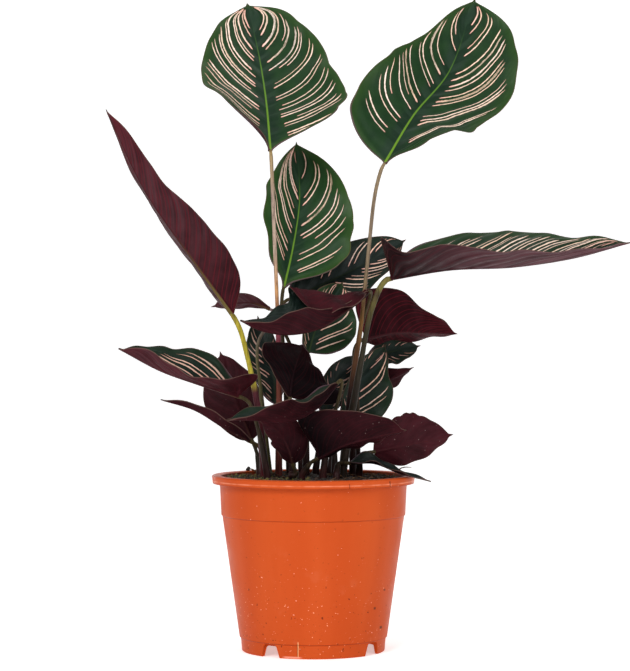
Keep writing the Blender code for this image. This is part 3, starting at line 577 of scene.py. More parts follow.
LEAVES = (
    Leaf("01", (-29, 8), ((-29, 12, 250), (-31, 17, 301), (-34, 15, 376)),
         ((-36, 12, 418), (-40, 40, 460), (-47, 72, 504), (-58, 104, 553)), (92, 90, 84), (160, 172, 170),
         (12, 50, 69, 61, 56, 41, 20), (9, 24, 42, 50, 51, 39, 20), curl_right=(10, 8, 5),
         curl_left=(120, 10, 5), wave=(1.5, 4, 0.3), scallops=(0.02, 0.27, 3, 3),
         tone=(0.7, 1, 1, 0.6, 0, 1)),
    Leaf("02", (24, -2), ((32, -8, 224), (39, -10, 264), (43, -6, 303), (48, 0, 350)),
         ((60, 5, 407), (85, 30, 449), (116, 58, 488), (140, 84, 554)), (90, 92, 95), (172, 168, 165),
         (8, 22, 37, 50, 58, 48, 26), (25, 46, 52, 50, 44, 27, 11), curl_right=(90, 12, 8),
         curl_left=(5, 8, 10), wave=(1.5, 4, 0), scallops=(0.06, 0.42, 3, 3.5), tone=(0.65, 1, 1, 0.5, 0, 1)),
    Leaf("03", (-20, 20), ((-25, 26, 247), (-27, 30, 275)),
         ((-25, 32, 303), (-18, 46, 335), (-12, 66, 379), (-15, 92, 430)), (78, 78, 85), (145, 140, 150),
         (7, 28, 46, 48, 43, 28, 10), (5, 18, 28, 36, 34, 22, 8), curl_right=(8, 5, 5), curl_left=(10, 8, 5),
         wave=(1.2, 4, 0.5), scallops=(0.1, 0.6, 4, 1.2), tone=(0.9, 0.8, 1, 0.2, 0, 1)),
    Leaf("04", (-40, -8), ((-49, -10, 219), (-56, -12, 249)),
         ((-67, -12, 280), (-102, -18, 329), (-137, -14, 379), (-172, 4, 449)), (305, 305, 300),
         (110, 105, 110), (15, 23, 27, 24, 18, 11, 6), (22, 28, 27, 25.5, 22.5, 16.5, 14.5, 12, 8),
         curl_right=(20, 15, 10), curl_left=(25, 12, 10), wave=(1, 3, 0.2), radii=(3.6, 2, 2), sheath=0.55,
         tone=(0.45, 0.8, 0.9, 0.38, 0.1, 0.8)),
    Leaf("05", (24, -16), ((33, -18, 205), (41, -22, 249), (48, -24, 285), (54, -24, 300)),
         ((64, -22, 310), (110, -34, 317), (165, -44, 319), (213, -46, 326), (257, -40, 338)),
         (163, 165, 158), (114, 119, 135), (46, 38, 37, 37, 35, 24, 12), (18, 32, 40, 46, 43, 25, 12),
         curl_right=(100, 20, 30, 12, 5, 5, 5, 5, 5), curl_left=(0, -10, 0), wave=(1.2, 5, 0.1), lobe=0.2,
         radii=(3.6, 2.2, 2.3), sheath=0.5, scallops=(0.1, 0.75, 5, 1.5), tone=(0.4, 1, 0.95, 1, 0.6, 0.3)),
    Leaf("06", (-10, 32), ((-14, 42, 241),), ((-20, 48, 294), (10, 56, 307), (42, 64, 323), (78, 70, 344)),
         (110, 106, 100), (150, 155, 150), (10, 18, 24, 27, 25, 18, 9), (10, 18, 24, 26, 24, 17, 8),
         curl_right=(10, 10, 40), tone=(0.05, 0.6, 0.95, 0.2, 0.2, 0.4)),
    # Leaf 07's upper side is painted near black and without strokes: painted shade inside its fold
    Leaf("07", (33, 10), ((34, 2, 225), (38, -4, 262), (43, -2, 282)),
         ((44, -16, 298), (26, -36, 283), (4, -52, 269), (-23, -60, 264), (-45, -58, 268), (-57, -50, 274)),
         (-2, -2, 5), (70, 60, 80), (24, 38, 66, 80, 61, 32, 30, 24, 14), (2, 3, 5.5, 13, 22, 11, 3),
         curl_right=(180, 184, 186, 188, 188, 186, 180, 180, 180), curl_left=(10, 10, 10),
         crest=(0.4, 0.4, 0.46, 0.5, 0.54, 0.68, 1.3, 1.3, 1.3, 1.3, 1.3), wave=(1.6, 5, 0),
         scallops=(0.08, 0.5, 7, 1.6), tone=(0, 0.3, 0, 0.05, 0.1, 0.2), shade=0.7),
    Leaf("08", (-6, 8), ((-6, 8, 208),), ((-4, 10, 248), (1, 14, 265), (11, 24, 285), (24, 36, 306)),
         (72, 75, 80), (130, 135, 140), (14, 24, 31, 33, 29, 18, 8), (8, 14, 18, 20, 18, 14, 6),
         curl_right=(5, 5, 5), curl_left=(20, 10, 0), tone=(0.35, 0.4, 0.95, 0.1, 0.2, 0.3)),
    Leaf("09", (37, 15), ((37, 14, 208),), ((44, 15, 260), (69, 38, 265), (96, 61, 265), (123, 82, 264)),
         (240, 240, 245), (112, 110, 120), (26, 38, 41, 37, 26, 14, 8), (8, 14, 22, 26, 22, 12, 6),
         curl_right=(10, 10, 10), curl_left=(10, 10, 10), lobe=0.3, tone=(0.1, 0.3, 0.8, 0, 0.4, -0.6)),
    Leaf("10", (-17, -22), ((-18, -24, 184),),
         ((-19, -30, 211), (-17, -28, 227), (-13, -16, 242), (-9, 4, 253)), (272, 270, 268), (160, 165, 160),
         (4, 8, 14, 22, 31, 28, 12), (32, 42, 39, 29, 19, 11, 5), curl_right=(0, 0, -20),
         curl_left=(10, 5, 0), wave=(1.5, 3, 0.4), tone=(0.1, 0.3, 0.8, 0, 1.5, 0)),
    Leaf("11", (-38, -21), ((-47, -22, 190),),
         ((-62, -26, 213), (-93, -44, 223), (-123, -58, 234), (-154, -68, 251)), (10, 20, -20),
         (90, 100, 75), (12, 20, 29, 29, 24, 19, 8), (26, 30, 18, 10, 12, 13, 6), curl_left=(20, 20, 10),
         wave=(1.2, 4, 0.2), lobe=0.5, tone=(0.1, 0.2, 0.9, 0.35, 0.1, 0.2)),
    Leaf("12", (-45, 18), (), ((-52, 24, 174), (-62, 28, 198), (-71, 34, 220), (-79, 44, 246)),
         (270, 268, 268), (165, 160, 160), (8, 14, 20, 25, 26, 18, 8), (8, 14, 18, 22, 22, 16, 7),
         tone=(0.1, 0.3, 0.8, 0.15, 0.4, 0.1)),
    Leaf("13", (-42, 3), (), ((-53, -4, 175), (-73, -12, 186), (-98, -18, 201), (-123, -24, 209)),
         (330, 335, 335), (110, 115, 120), (7, 12, 16, 18, 16, 11, 5), (3, 5, 7, 8, 7, 5, 2)),
    Leaf("14", (8, -34), ((14, -38, 189), (22, -44, 214)),
         ((18, -50, 223), (2, -64, 204), (-19, -76, 194), (-46, -80, 195), (-67, -74, 195)), (0, 0, 10),
         (100, 100, 100), (10, 16, 22, 24, 20, 14, 9), (4, 6, 10, 15, 27, 7, 2), curl_left=(10, 10, 10),
         wave=(1, 4, 0.6), tone=(0.1, 0.3, 0, 0, 0.5, 0), shade=0.3),
    Leaf("15", (-20, -34), (), ((-17, -36, 157), (-20, -41, 169), (-27, -40, 182), (-42, -28, 191)),
         (272, 270, 270), (150, 150, 150), (4, 7, 9, 11, 11, 8, 4), (8, 13, 17, 19, 17, 11, 5)),
    Leaf("16", (-9, -36), (), ((5, -45, 163), (23, -59, 173), (46, -71, 180), (72, -75, 186)),
         (236, 232, 230), (110, 112, 115), (30, 36, 34, 28, 23, 15, 8), (8, 14, 18, 20, 18, 12, 6),
         curl_right=(0, 10, 40), lobe=0.3, tone=(0.1, 0.3, 0, 0, 0.8, 0)),
    Leaf("17", (19, -29), (), ((30, -28, 158), (48, -32, 158.5), (73, -34, 149), (94, -32, 143.5)),
         (165, 170, 172), (150, 150, 150), (4, 7, 10, 11, 10, 7, 3), (8, 14, 14, 8, 7, 5, 3),
         tone=(0, 0, 0, 0, 0.9, 0)),
    Leaf("18", (18, 18), (), ((23, 26, 184), (33, 32, 209), (45, 39, 235), (61, 48, 253)), (82, 82, 85),
         (150, 150, 155), (12, 22, 29, 32, 29, 18, 8), (4, 6, 8, 10, 10, 7, 3),
         tone=(0.15, 0.4, 0.95, 0, 0.5, 0.2)),
    Leaf("19", (34, 38), ((41, 44, 199),), ((47, 58, 243), (62, 66, 247), (77, 74, 250), (91, 80, 253)),
         (110, 110, 110), (150, 150, 150), (5, 9, 12, 13, 12, 8, 4), (4, 7, 10, 11, 10, 7, 3)),
    Leaf("20", (14, 30), (), ((38, 59, 210), (53, 61, 219), (70, 61, 227), (84, 59, 234)), (250, 250, 250),
         (120, 120, 120), (6, 10, 13, 14, 11, 5, 2), (6, 10, 14, 16, 14, 7, 3)),
    Leaf("21", (-38, 26), ((-44, 16, 215), (-46, 20, 263)),
         ((-37, 34, 285), (-50, 32, 290), (-66, 28, 290), (-84, 24, 287)), (300, 300, 300), (140, 140, 140),
         (2, 4, 7, 7.5, 8, 5, 2.5), (2, 3, 5, 7.5, 8, 6, 3), wave=(0.5, 3, 0), radii=(3, 1.5, 1.3),
         tone=(0.1, 0.3, 0.5, 1, 0, 0.3)),
    Leaf("22", (-29, 22), (), ((-32, 34, 204), (-34, 36, 229), (-40, 40, 252), (-47, 46, 277)), (90, 90, 90),
         (160, 160, 160), (4, 7, 9, 10, 10, 8, 4), (6, 11, 15, 19, 19, 14, 7)),
    Leaf("23", (38, -10), (), ((50, -16, 166), (70, -12, 170), (92, -6, 174), (114, 0, 179)),
         (262, 262, 262), (150, 150, 150), (8, 14, 20, 24, 24, 16, 7), (8, 12, 16, 18, 16, 10, 5),
         scallops=(0.3, 0.8, 4, 1.5), tone=(0.1, 0.3, 0.8, 0.1, 0.2, 0)),
    Leaf("24", (2, 22), (), ((10, 31, 195), (14, 35, 214), (21, 41, 229), (34, 49, 245)), (85, 85, 85),
         (160, 160, 160), (6, 10, 14, 17, 17, 12, 6), (5, 8, 10, 11, 10, 7, 3)),
)

# How a half's side veins run, and the strokes on it; the right half is 1 and the left -1.  At
# share s of the blade's length and r of the way out, a vein has come forward from its origin
# on the midrib by widest * (r (a + b s + c s s) + r^3 (d + e s + f s s)).  A stroke gives its
# vein's origin, how far out it starts, at what share of the half it ends, and its width.
PLAIN_COURSE = (0.85, 0.7, 0, 0.1, 0, 0)
STROKES = {
    ("01", 1): ((-0.03, 0.76, 0.02, 0.06, 0.38, -0.08), (
        (9.6, 16, 0.9, 0.9), (12.6, 15.4, 0.97, 1), (20.8, 13.5, 0.95, 0.8), (23.8, 13.2, 0.95, 1.2),
        (26.6, 25, 0.9, 0.7), (31, 11, 0.93, 1.1), (33.6, 11, 0.92, 1), (39.4, 10, 0.96, 1),
        (42.8, 13, 0.93, 0.9), (49.6, 8.6, 0.93, 1), (53.1, 8.4, 0.93, 1.1), (63.1, 7.8, 0.9, 1.2),
        (67.2, 9, 0.9, 1), (77, 22, 0.86, 0.8), (80, 15, 0.88, 1), (84.4, 5.9, 0.83, 1.7),
        (93.6, 5.7, 0.8, 1.8), (98, 22, 0.82, 0.9), (107.3, 6.5, 0.8, 1.2), (112.3, 4.1, 0.76, 2.3),
        (124, 5, 0.7, 1.6), (129, 5, 0.6, 1.2))),
    ("01", -1): ((-0.1, 3.15, -0.71, 0.07, 0.25, -0.98), (
        (19.5, 8, 0.9, 0.8), (23, 7.1, 0.93, 1), (27, 7, 0.96, 1), (33.5, 13, 0.94, 0.9),
        (38.5, 6.5, 0.92, 1), (42, 6.2, 0.9, 1.3), (51.9, 6.2, 0.93, 1.1), (56, 11, 0.9, 0.9),
        (62.5, 7, 0.84, 1.1), (66, 7, 0.88, 1.6), (74.9, 5.8, 0.84, 1), (79.6, 8.1, 0.86, 1.5),
        (93, 5, 0.7, 1), (97.5, 4.1, 0.75, 1), (107.2, 4, 0.6, 1.4), (122, 3, 0.45, 1), (131, 2.5, 0.5, 1.6),
        (140, 3, 0.4, 1))),
    ("02", -1): ((0.05, 0.73, 0.18, 0.33, 0.1, 0.02), (
        (23.3, 12.5, 0.83, 1), (28, 12.7, 0.84, 1.3), (39, 8.4, 0.85, 1), (43.6, 7.8, 0.88, 1.2),
        (48.3, 25.5, 0.92, 0.9), (57, 4.6, 0.89, 1), (62, 14, 0.9, 0.7), (66, 4.2, 0.92, 1.9),
        (72.3, 5.7, 0.95, 1), (86.2, 4.9, 0.88, 1), (91.2, 4.5, 0.96, 1.1), (103.2, 4.8, 0.93, 2.2),
        (112.3, 6.2, 0.86, 1), (133.8, 1.8, 0.7, 1.1), (141, 6.1, 0.75, 1), (153, 6, 0.9, 2))),
    ("02", 1): ((0.22, 2.02, -0.9, 1.42, -0.83, -0.89), (
        (13, 9, 0.9, 0.9), (17.4, 8.5, 0.93, 1), (40.3, 7.2, 0.88, 1.5), (45, 7.2, 0.88, 1),
        (51.5, 6.7, 0.86, 0.8), (66.5, 7.1, 0.81, 1), (72, 7.1, 0.79, 2), (77, 7.1, 0.77, 0.9),
        (87.3, 6.6, 0.84, 1), (92.3, 7.1, 0.83, 1.3), (100.5, 5.4, 0.78, 1.7), (107.6, 5.8, 0.78, 1.1),
        (125, 6.2, 0.68, 1.1), (131.4, 6.7, 0.64, 1), (147, 4.8, 0.5, 1.3), (156, 4, 0.5, 1.4))),
    ("03", 1): ((0.53, 0.67, 0.14, 0.16, 0.02, -0.03), (
        (5.5, 9, 0.8, 0.8), (9.6, 7.5, 0.86, 1), (21.8, 5.8, 0.87, 1), (28, 6.2, 0.89, 1),
        (35.4, 17.2, 0.88, 1), (43, 6.7, 0.85, 1), (47, 4.3, 0.85, 1.1), (57, 3.6, 0.86, 1.8),
        (61.6, 7.6, 0.85, 1), (76.2, 2.8, 0.7, 1.2), (82.3, 3.5, 0.65, 1.2), (102.4, 1.9, 0.5, 1))),
    ("03", -1): ((0.41, 1.72, 0.47, 0.26, 0.57, 0.13), (
        (16, 6, 0.7, 1), (20, 6, 0.75, 0.9), (28, 4.4, 0.8, 1), (33.2, 5.6, 0.8, 1), (46, 4, 0.8, 1.2),
        (50.5, 3.9, 0.8, 1), (60.8, 3.2, 0.75, 1.1), (67.6, 4.7, 0.7, 1), (83, 1.1, 0.7, 2), (88, 2, 0.6, 1),
        (114, 1.5, 0.5, 1.2))),
    ("05", -1): ((0.83, 0.57, 0, 0.13, 0, 0), (
        (9, 7, 0.8, 0.9), (12.5, 6, 0.84, 1), (22.8, 8, 0.84, 1), (26.7, 5, 0.91, 1.1), (33.5, 7, 0.8, 0.9),
        (43.1, 4, 0.91, 1.3), (49.2, 5, 0.97, 1.2), (56, 6, 0.86, 0.9), (59.5, 6, 0.9, 1),
        (67.2, 4, 0.89, 1.4), (72.8, 5, 0.83, 1.3), (80.5, 5, 0.85, 1), (84.5, 6, 0.9, 0.9),
        (91.5, 5, 0.84, 1.1), (98.7, 5, 0.78, 1.4), (103.1, 4, 0.97, 1.1), (110, 8, 0.86, 1),
        (118, 5, 0.86, 0.9), (125, 4, 0.83, 1.1), (130, 5, 0.86, 1), (140, 4, 0.8, 1), (146, 5, 0.8, 0.9),
        (156, 3, 0.75, 1), (163, 4, 0.75, 0.9))),
    ("06", -1): ((0.88, 0.32, 0, 0.25, 0, 0), (
        (27.1, 5, 0.9, 1), (35.3, 4, 0.9, 1.1), (54.3, 4, 0.88, 1), (60, 4, 0.86, 1), (74, 3, 0.8, 1),
        (80, 4, 0.8, 1))),
    ("08", 1): ((0.88, 0.65, 0, -0.06, 0, 0), (
        (-7, 5, 0.85, 1.1), (2.6, 4, 0.9, 1.2), (6.5, 5, 0.9, 1.1), (17.1, 4, 0.88, 1.2), (26, 4, 0.85, 1),
        (31, 5, 0.85, 1), (42, 3, 0.8, 1), (47, 4, 0.8, 1))),
    ("11", 1): ((1.51, 1.85, 0, 0.37, 0, 0), (
        (-13.9, 4, 0.88, 1.6), (-4.6, 4, 0.83, 1.3), (12.6, 4, 0.74, 1.3), (20.9, 4, 0.67, 1.2),
        (34, 4, 0.7, 1), (41, 4, 0.7, 1))),
    ("18", 1): ((0.95, 1.23, 0, -0.17, 0, 0), (
        (2.3, 4, 0.85, 1.1), (7.8, 4, 0.87, 1.1), (21.4, 4, 0.85, 1.1), (29, 4, 0.82, 1.1),
        (50.6, 3, 0.8, 1), (56, 3, 0.8, 1))),
}


def unit(vectors):
    """Vectors scaled to length one."""
    return vectors / np.linalg.norm(vectors, axis=-1, keepdims=True)


def smooth(knots, values, at):
    """A smooth curve through values at knots: each stretch is a cubic whose end slopes are
    the slopes between the neighbours."""
    knots, values, at = (np.asarray(item, float) for item in (knots, values, at))
    slopes = np.gradient(values, knots, axis=0)
    place = np.clip(np.searchsorted(knots, at, side="right") - 1, 0, len(knots) - 2)
    shape = at.shape + (1,) * (values.ndim - 1)
    width = (knots[place + 1] - knots[place]).reshape(shape)
    u = (at - knots[place]).reshape(shape) / width
    return ((1 + 2 * u) * (1 - u) ** 2 * values[place] + u * (1 - u) ** 2 * width * slopes[place]
            + u ** 2 * (3 - 2 * u) * values[place + 1] + u ** 2 * (u - 1) * width * slopes[place + 1])


def line_frame(points, places):
    """Points on the smooth line through some points, with its direction, right side and front.
    The right side is level with the picture plane, square to the line."""
    points = np.asarray(points, float)
    steps = np.linalg.norm(np.diff(points, axis=0), axis=1)
    knots = np.concatenate(([0], np.cumsum(steps))) / steps.sum()
    middle, after, before = (smooth(knots, points, places + step) for step in (0, 1e-3, -1e-3))
    ahead = unit(after - before)
    right = unit(np.cross((0, 1, 0), ahead))
    return middle, ahead, right, np.cross(right, ahead)


def evenly(values, along):
    """A smooth curve through values that stand at even places from base to tip."""
    return smooth(np.linspace(0, 1, len(values)), values, along)


def half_width(widths, along):
    """A half's width along the blade, from its stalk's width at the base to nothing at the tip."""
    inner = WIDTH_STATIONS if len(widths) == len(WIDTH_STATIONS) else EVEN_STATIONS
    return smooth((0, *inner, 1), (ROOT_HALF_WIDTH, *widths, 0), along)


def turned_share(leaf, along, reach):
    """The share of its turn that a half has made at a share of its way out: the same share
    where it turns evenly, and a smooth step at the crest where it turns over there."""
    if not leaf.crest:
        return reach
    crest = evenly(leaf.crest, along).reshape((-1,) + (1,) * (reach.ndim - 1))
    share = np.clip((reach - crest) / CREST_SPREAD + 0.5, 0, 1)
    return share * share * (3 - 2 * share)


def blade_skin(leaf, along, across, trim):
    """The blade's skin, its upward normals and its half widths, on a grid from base to tip and
    from left margin to right.  Each half leaves the midrib at the fold's angle and turns up on
    its way out, so a point's place is its width times the mean direction of that way.  The
    margin's waves grow with the square of the distance across, and the trim widens a half."""
    middle, ahead, right, front = line_frame(leaf.midrib, along)
    t, s = across[None, :], along[:, None]
    side = np.where(t >= 0, 1.0, -1.0)
    half = np.where(t >= 0, *(half_width(widths, along)[:, None] for widths in (leaf.right, leaf.left)))
    half = np.maximum(half, 0) * (1 + trim)
    face, fold, curl_right, curl_left = (np.radians(evenly(item, along))[:, None] for item in
                                         (leaf.face, leaf.fold, leaf.curl_right, leaf.curl_left))
    curl = side * np.where(t >= 0, curl_right, curl_left)
    reach = np.abs(t)
    start = face - side * fold / 2
    path = (np.arange(ARC_STEPS) + 0.5) / ARC_STEPS
    turn = start[..., None] + curl[..., None] * turned_share(leaf, along, reach[..., None] * path)
    sideways = half * reach * np.cos(turn).mean(-1)
    forwards = half * reach * np.sin(turn).mean(-1)
    up = np.where(reach > 0, start + curl * turned_share(leaf, along, reach) + side * np.pi / 2, face)
    normal = np.cos(up)[..., None] * right[:, None] + np.sin(up)[..., None] * front[:, None]
    height, count, begin = leaf.wave
    rise = height * reach ** 2 * np.sin(2 * np.pi * (count * s + begin + 0.3 * side))
    rise = rise * np.clip(half / 12, 0, 1)
    back = leaf.lobe * np.maximum(half - ROOT_HALF_WIDTH, 0) * reach ** 2 * (1 - s) ** 8
    skin = (middle[:, None] + sideways[..., None] * right[:, None] + forwards[..., None] * front[:, None]
            + rise[..., None] * normal - back[..., None] * ahead[:, None])
    return skin, normal, half


def vein_origin(course, s, r, widest, length):
    """Where on the midrib, in millimetres from its base, the vein through a point leaves it."""
    a, b, c, d, e, f = course
    return s * length - widest * (r * (a + b * s + c * s * s) + r ** 3 * (d + e * s + f * s * s))


def vein_slope(course, s, r, half, widest, length):
    """How fast the origin changes per millimetre over the blade, whose outline narrows."""
    by_s, by_r = ((vein_origin(course, s + ds, r + dr, widest, length)
                   - vein_origin(course, s - ds, r - dr, widest, length)) / 2e-3
                  for ds, dr in ((1e-3, 0), (0, 1e-3)))
    half = np.maximum(half, 1.0)
    narrowing = np.gradient(half, s[:, 0] * length, axis=0)
    by_r = by_r / half
    return np.hypot(by_s / length - by_r * r * narrowing, by_r)


def pair_strokes(length, draw):
    """Pairs of strokes at even distances, each a little off its place."""
    strokes = []
    for origin in np.arange(-0.25 * length, 0.95 * length, 0.8 * VEIN_GAP):
        gap = 0.14 * VEIN_GAP + draw.uniform(0, 0.6)
        for turn in (-1, 1):
            strokes.append((origin + turn * gap + draw.uniform(-0.4, 0.4), draw.uniform(2.5, 6),
                            draw.uniform(0.74, 0.93), draw.choice((0.8, 0.9, 1, 1.1, 1.4))))
    return strokes


def blade(leaf, number, upper, under):
    """A closed blade: the upper skin, the same grid set down by the thickness, and its edge.
    The skin carries a quilting along the veins, a low ripple and a ridge over the midrib, and
    the thickness adds a rounded keel below and thins to the margin."""
    *above, sheen, dusk, olive = leaf.tone
    length = np.linalg.norm(np.diff(np.array(leaf.midrib, float), axis=0), axis=1).sum()
    rows = int(np.clip(length / ROW_LENGTH, 30, 160))
    halves = int(np.clip(max(leaf.right + leaf.left) / COLUMN_WIDTH, 10, 52))
    even = np.linspace(0, 1, rows + 1)
    along = 0.75 * even + 0.25 * (0.5 - 0.5 * np.cos(np.pi * even))
    outer = np.linspace(0, 1, halves + 1)[1:] ** 1.2
    across = np.concatenate((-outer[::-1], (0,), outer))
    reach = np.abs(across)[None, :]
    s = along[:, None]
    shore = np.stack(np.broadcast_arrays(s * length, np.sign(across) * 40.0, 10.0 * number), -1)
    trim = TRIM * lattice(shore, TRIM_SIZE, 21) * np.clip(s * (1 - s) * 12, 0, 1)
    start, end, count, depth = leaf.scallops
    share = np.clip((s - start) / (end - start), 0, 1)
    trim = trim + np.where(across > 0, depth / max(leaf.right) * np.abs(np.sin(np.pi * count * share)), 0)
    skin, normal, half = blade_skin(leaf, along, across, trim)
    out = reach * half
    inward = half - out
    draw = np.random.default_rng(100 + number)
    sides = {}
    for side, widest in ((1, max(leaf.right)), (-1, max(leaf.left))):
        course, strokes = STROKES.get((leaf.name, side), (PLAIN_COURSE, None))
        origin = vein_origin(course, s, reach, widest, length)
        slope = vein_slope(course, s, reach, half, widest, length)
        sides[side] = np.array(strokes or pair_strokes(length, draw)), origin, slope, widest
    origin = np.where(across >= 0, sides[1][1], sides[-1][1])
    calm = np.clip(out / 4, 0, 1) * np.clip(inward / 6, 0, 1)
    quilt = (QUILT + QUILT_IN_SHEEN * sheen) * np.cos(2 * np.pi * origin / VEIN_GAP) * calm
    ripple = RIPPLE * lattice(skin + 1000 * number, RIPPLE_SIZE, 9) * np.clip(out / 8, 0, 1)
    ridge = RIDGE * (1 - s) * np.exp(-out ** 2)
    skin = skin + (quilt + ripple + ridge)[..., None] * normal
    skin[-1] += DRIP_TIP * unit(skin[-1] - skin[-4])
    fold = np.radians(evenly(leaf.fold, along))[:, None]
    keel = KEEL_AT_TIP + (KEEL_AT_BASE - KEEL_AT_TIP) * (1 - s) ** 2
    keel = keel + BLADE_THICKNESS * (1 / np.sin(fold / 2) - 1)
    thin = BLADE_THICKNESS * (1 - MARGIN_THINNING * reach ** 5)
    depth = thin + keel * np.exp(-(out / KEEL_SPREAD) ** 2) + ridge
    columns, center = len(across), len(across) // 2
    top, bottom = (np.concatenate((grid[:-1].reshape(-1, 3), grid[-1, center][None]))
                   for grid in (skin, skin - depth[..., None] * normal))
    tip = rows * columns
    quads = net(rows, columns, False)
    last = tip - columns + np.arange(columns - 1)
    ends = np.stack((last, last + 1, np.full_like(last, tip)), 1)
    border = np.concatenate((np.arange(columns), np.arange(2, rows + 1) * columns - 1, (tip,),
                             np.arange(rows - 1, 0, -1) * columns))
    after = np.roll(border, -1)
    shift = len(top)
    edge = np.stack((after, border, border + shift, after + shift), 1)
    groups = (quads, ends, quads[:, ::-1] + shift, ends[:, ::-1] + shift, edge)
    kinds = np.repeat((0, 0, 1, 1, 1), [len(group) for group in groups])
    faces = [face for group in groups for face in group.tolist()]
    item = add_piece("blade_" + leaf.name, np.concatenate((top, bottom)), faces, (upper, under), kinds)
    corners = np.concatenate([group.ravel() % shift for group in groups])
    sizes = np.concatenate([np.full(len(group), group.shape[1]) for group in groups])
    face_of = np.repeat(np.arange(len(sizes)), sizes)
    on_right = np.concatenate([(group % shift % columns).max(1) > center for group in groups])[face_of]
    below = (kinds == 1)[face_of]

    def flat(grid):
        """A grid's value at each corner of each face."""
        grid = np.broadcast_to(grid, (rows + 1, columns))
        return np.append(grid[:-1].ravel(), grid[-1, center])[corners]

    # What the finishes read at each corner of a face: how far it is to the nearest stroke's
    # line, start and end; its vein, with the stroke's own number and width; its tone; its place
    tone = np.where(below[:, None], (sheen, dusk, olive), above)
    tone[below & ~on_right, 1] += leaf.shade
    place, distance = flat(s), flat(out)
    stroke, vein = np.zeros((2, len(corners), 3))
    for side, (strokes, origin, slope, widest) in sides.items():
        mine = on_right == (side > 0)
        begin = flat(origin)
        middle = (np.bincount(face_of, begin) / sizes)[face_of]
        nearest = np.searchsorted((strokes[1:, 0] + strokes[:-1, 0]) / 2, middle)
        line, start, end, width = strokes[nearest].T
        code = nearest + 30 * (side > 0) + 60 * number
        marks = (begin - line) / flat(slope), distance - start, (end - flat(reach)) * widest
        stroke[mine] = np.stack(marks, 1)[mine]
        vein[mine] = np.stack((begin, code, width), 1)[mine]
    for name, value in (("stroke", stroke), ("vein", vein), ("leaf_tone", tone),
                        ("leaf_place", np.stack((place, distance, flat(inward)), 1))):
        item.data.attributes.new(name, "FLOAT_VECTOR", "CORNER").data.foreach_set(
            "vector", value.astype(np.float32).ravel())
    return item


def own(mix, name):
    """The three numbers of one of the blade's own attributes."""
    return mix.parts(mix.node("ShaderNodeAttribute", attribute_name=name).outputs["Vector"])


def drawn_out(mix, vein, fine, out, coarse, detail, code=0.0):
    """Noise in streaks that follow the veins: fine across them and coarse on the way out."""
    spot = mix.node("ShaderNodeCombineXYZ", {0: mix.times(vein, fine), 1: mix.times(out, coarse), 2: code})
    return mix.node("ShaderNodeTexNoise", {"Vector": spot.outputs[0], "Scale": 1.0,
                                           "Detail": detail}).outputs["Fac"]


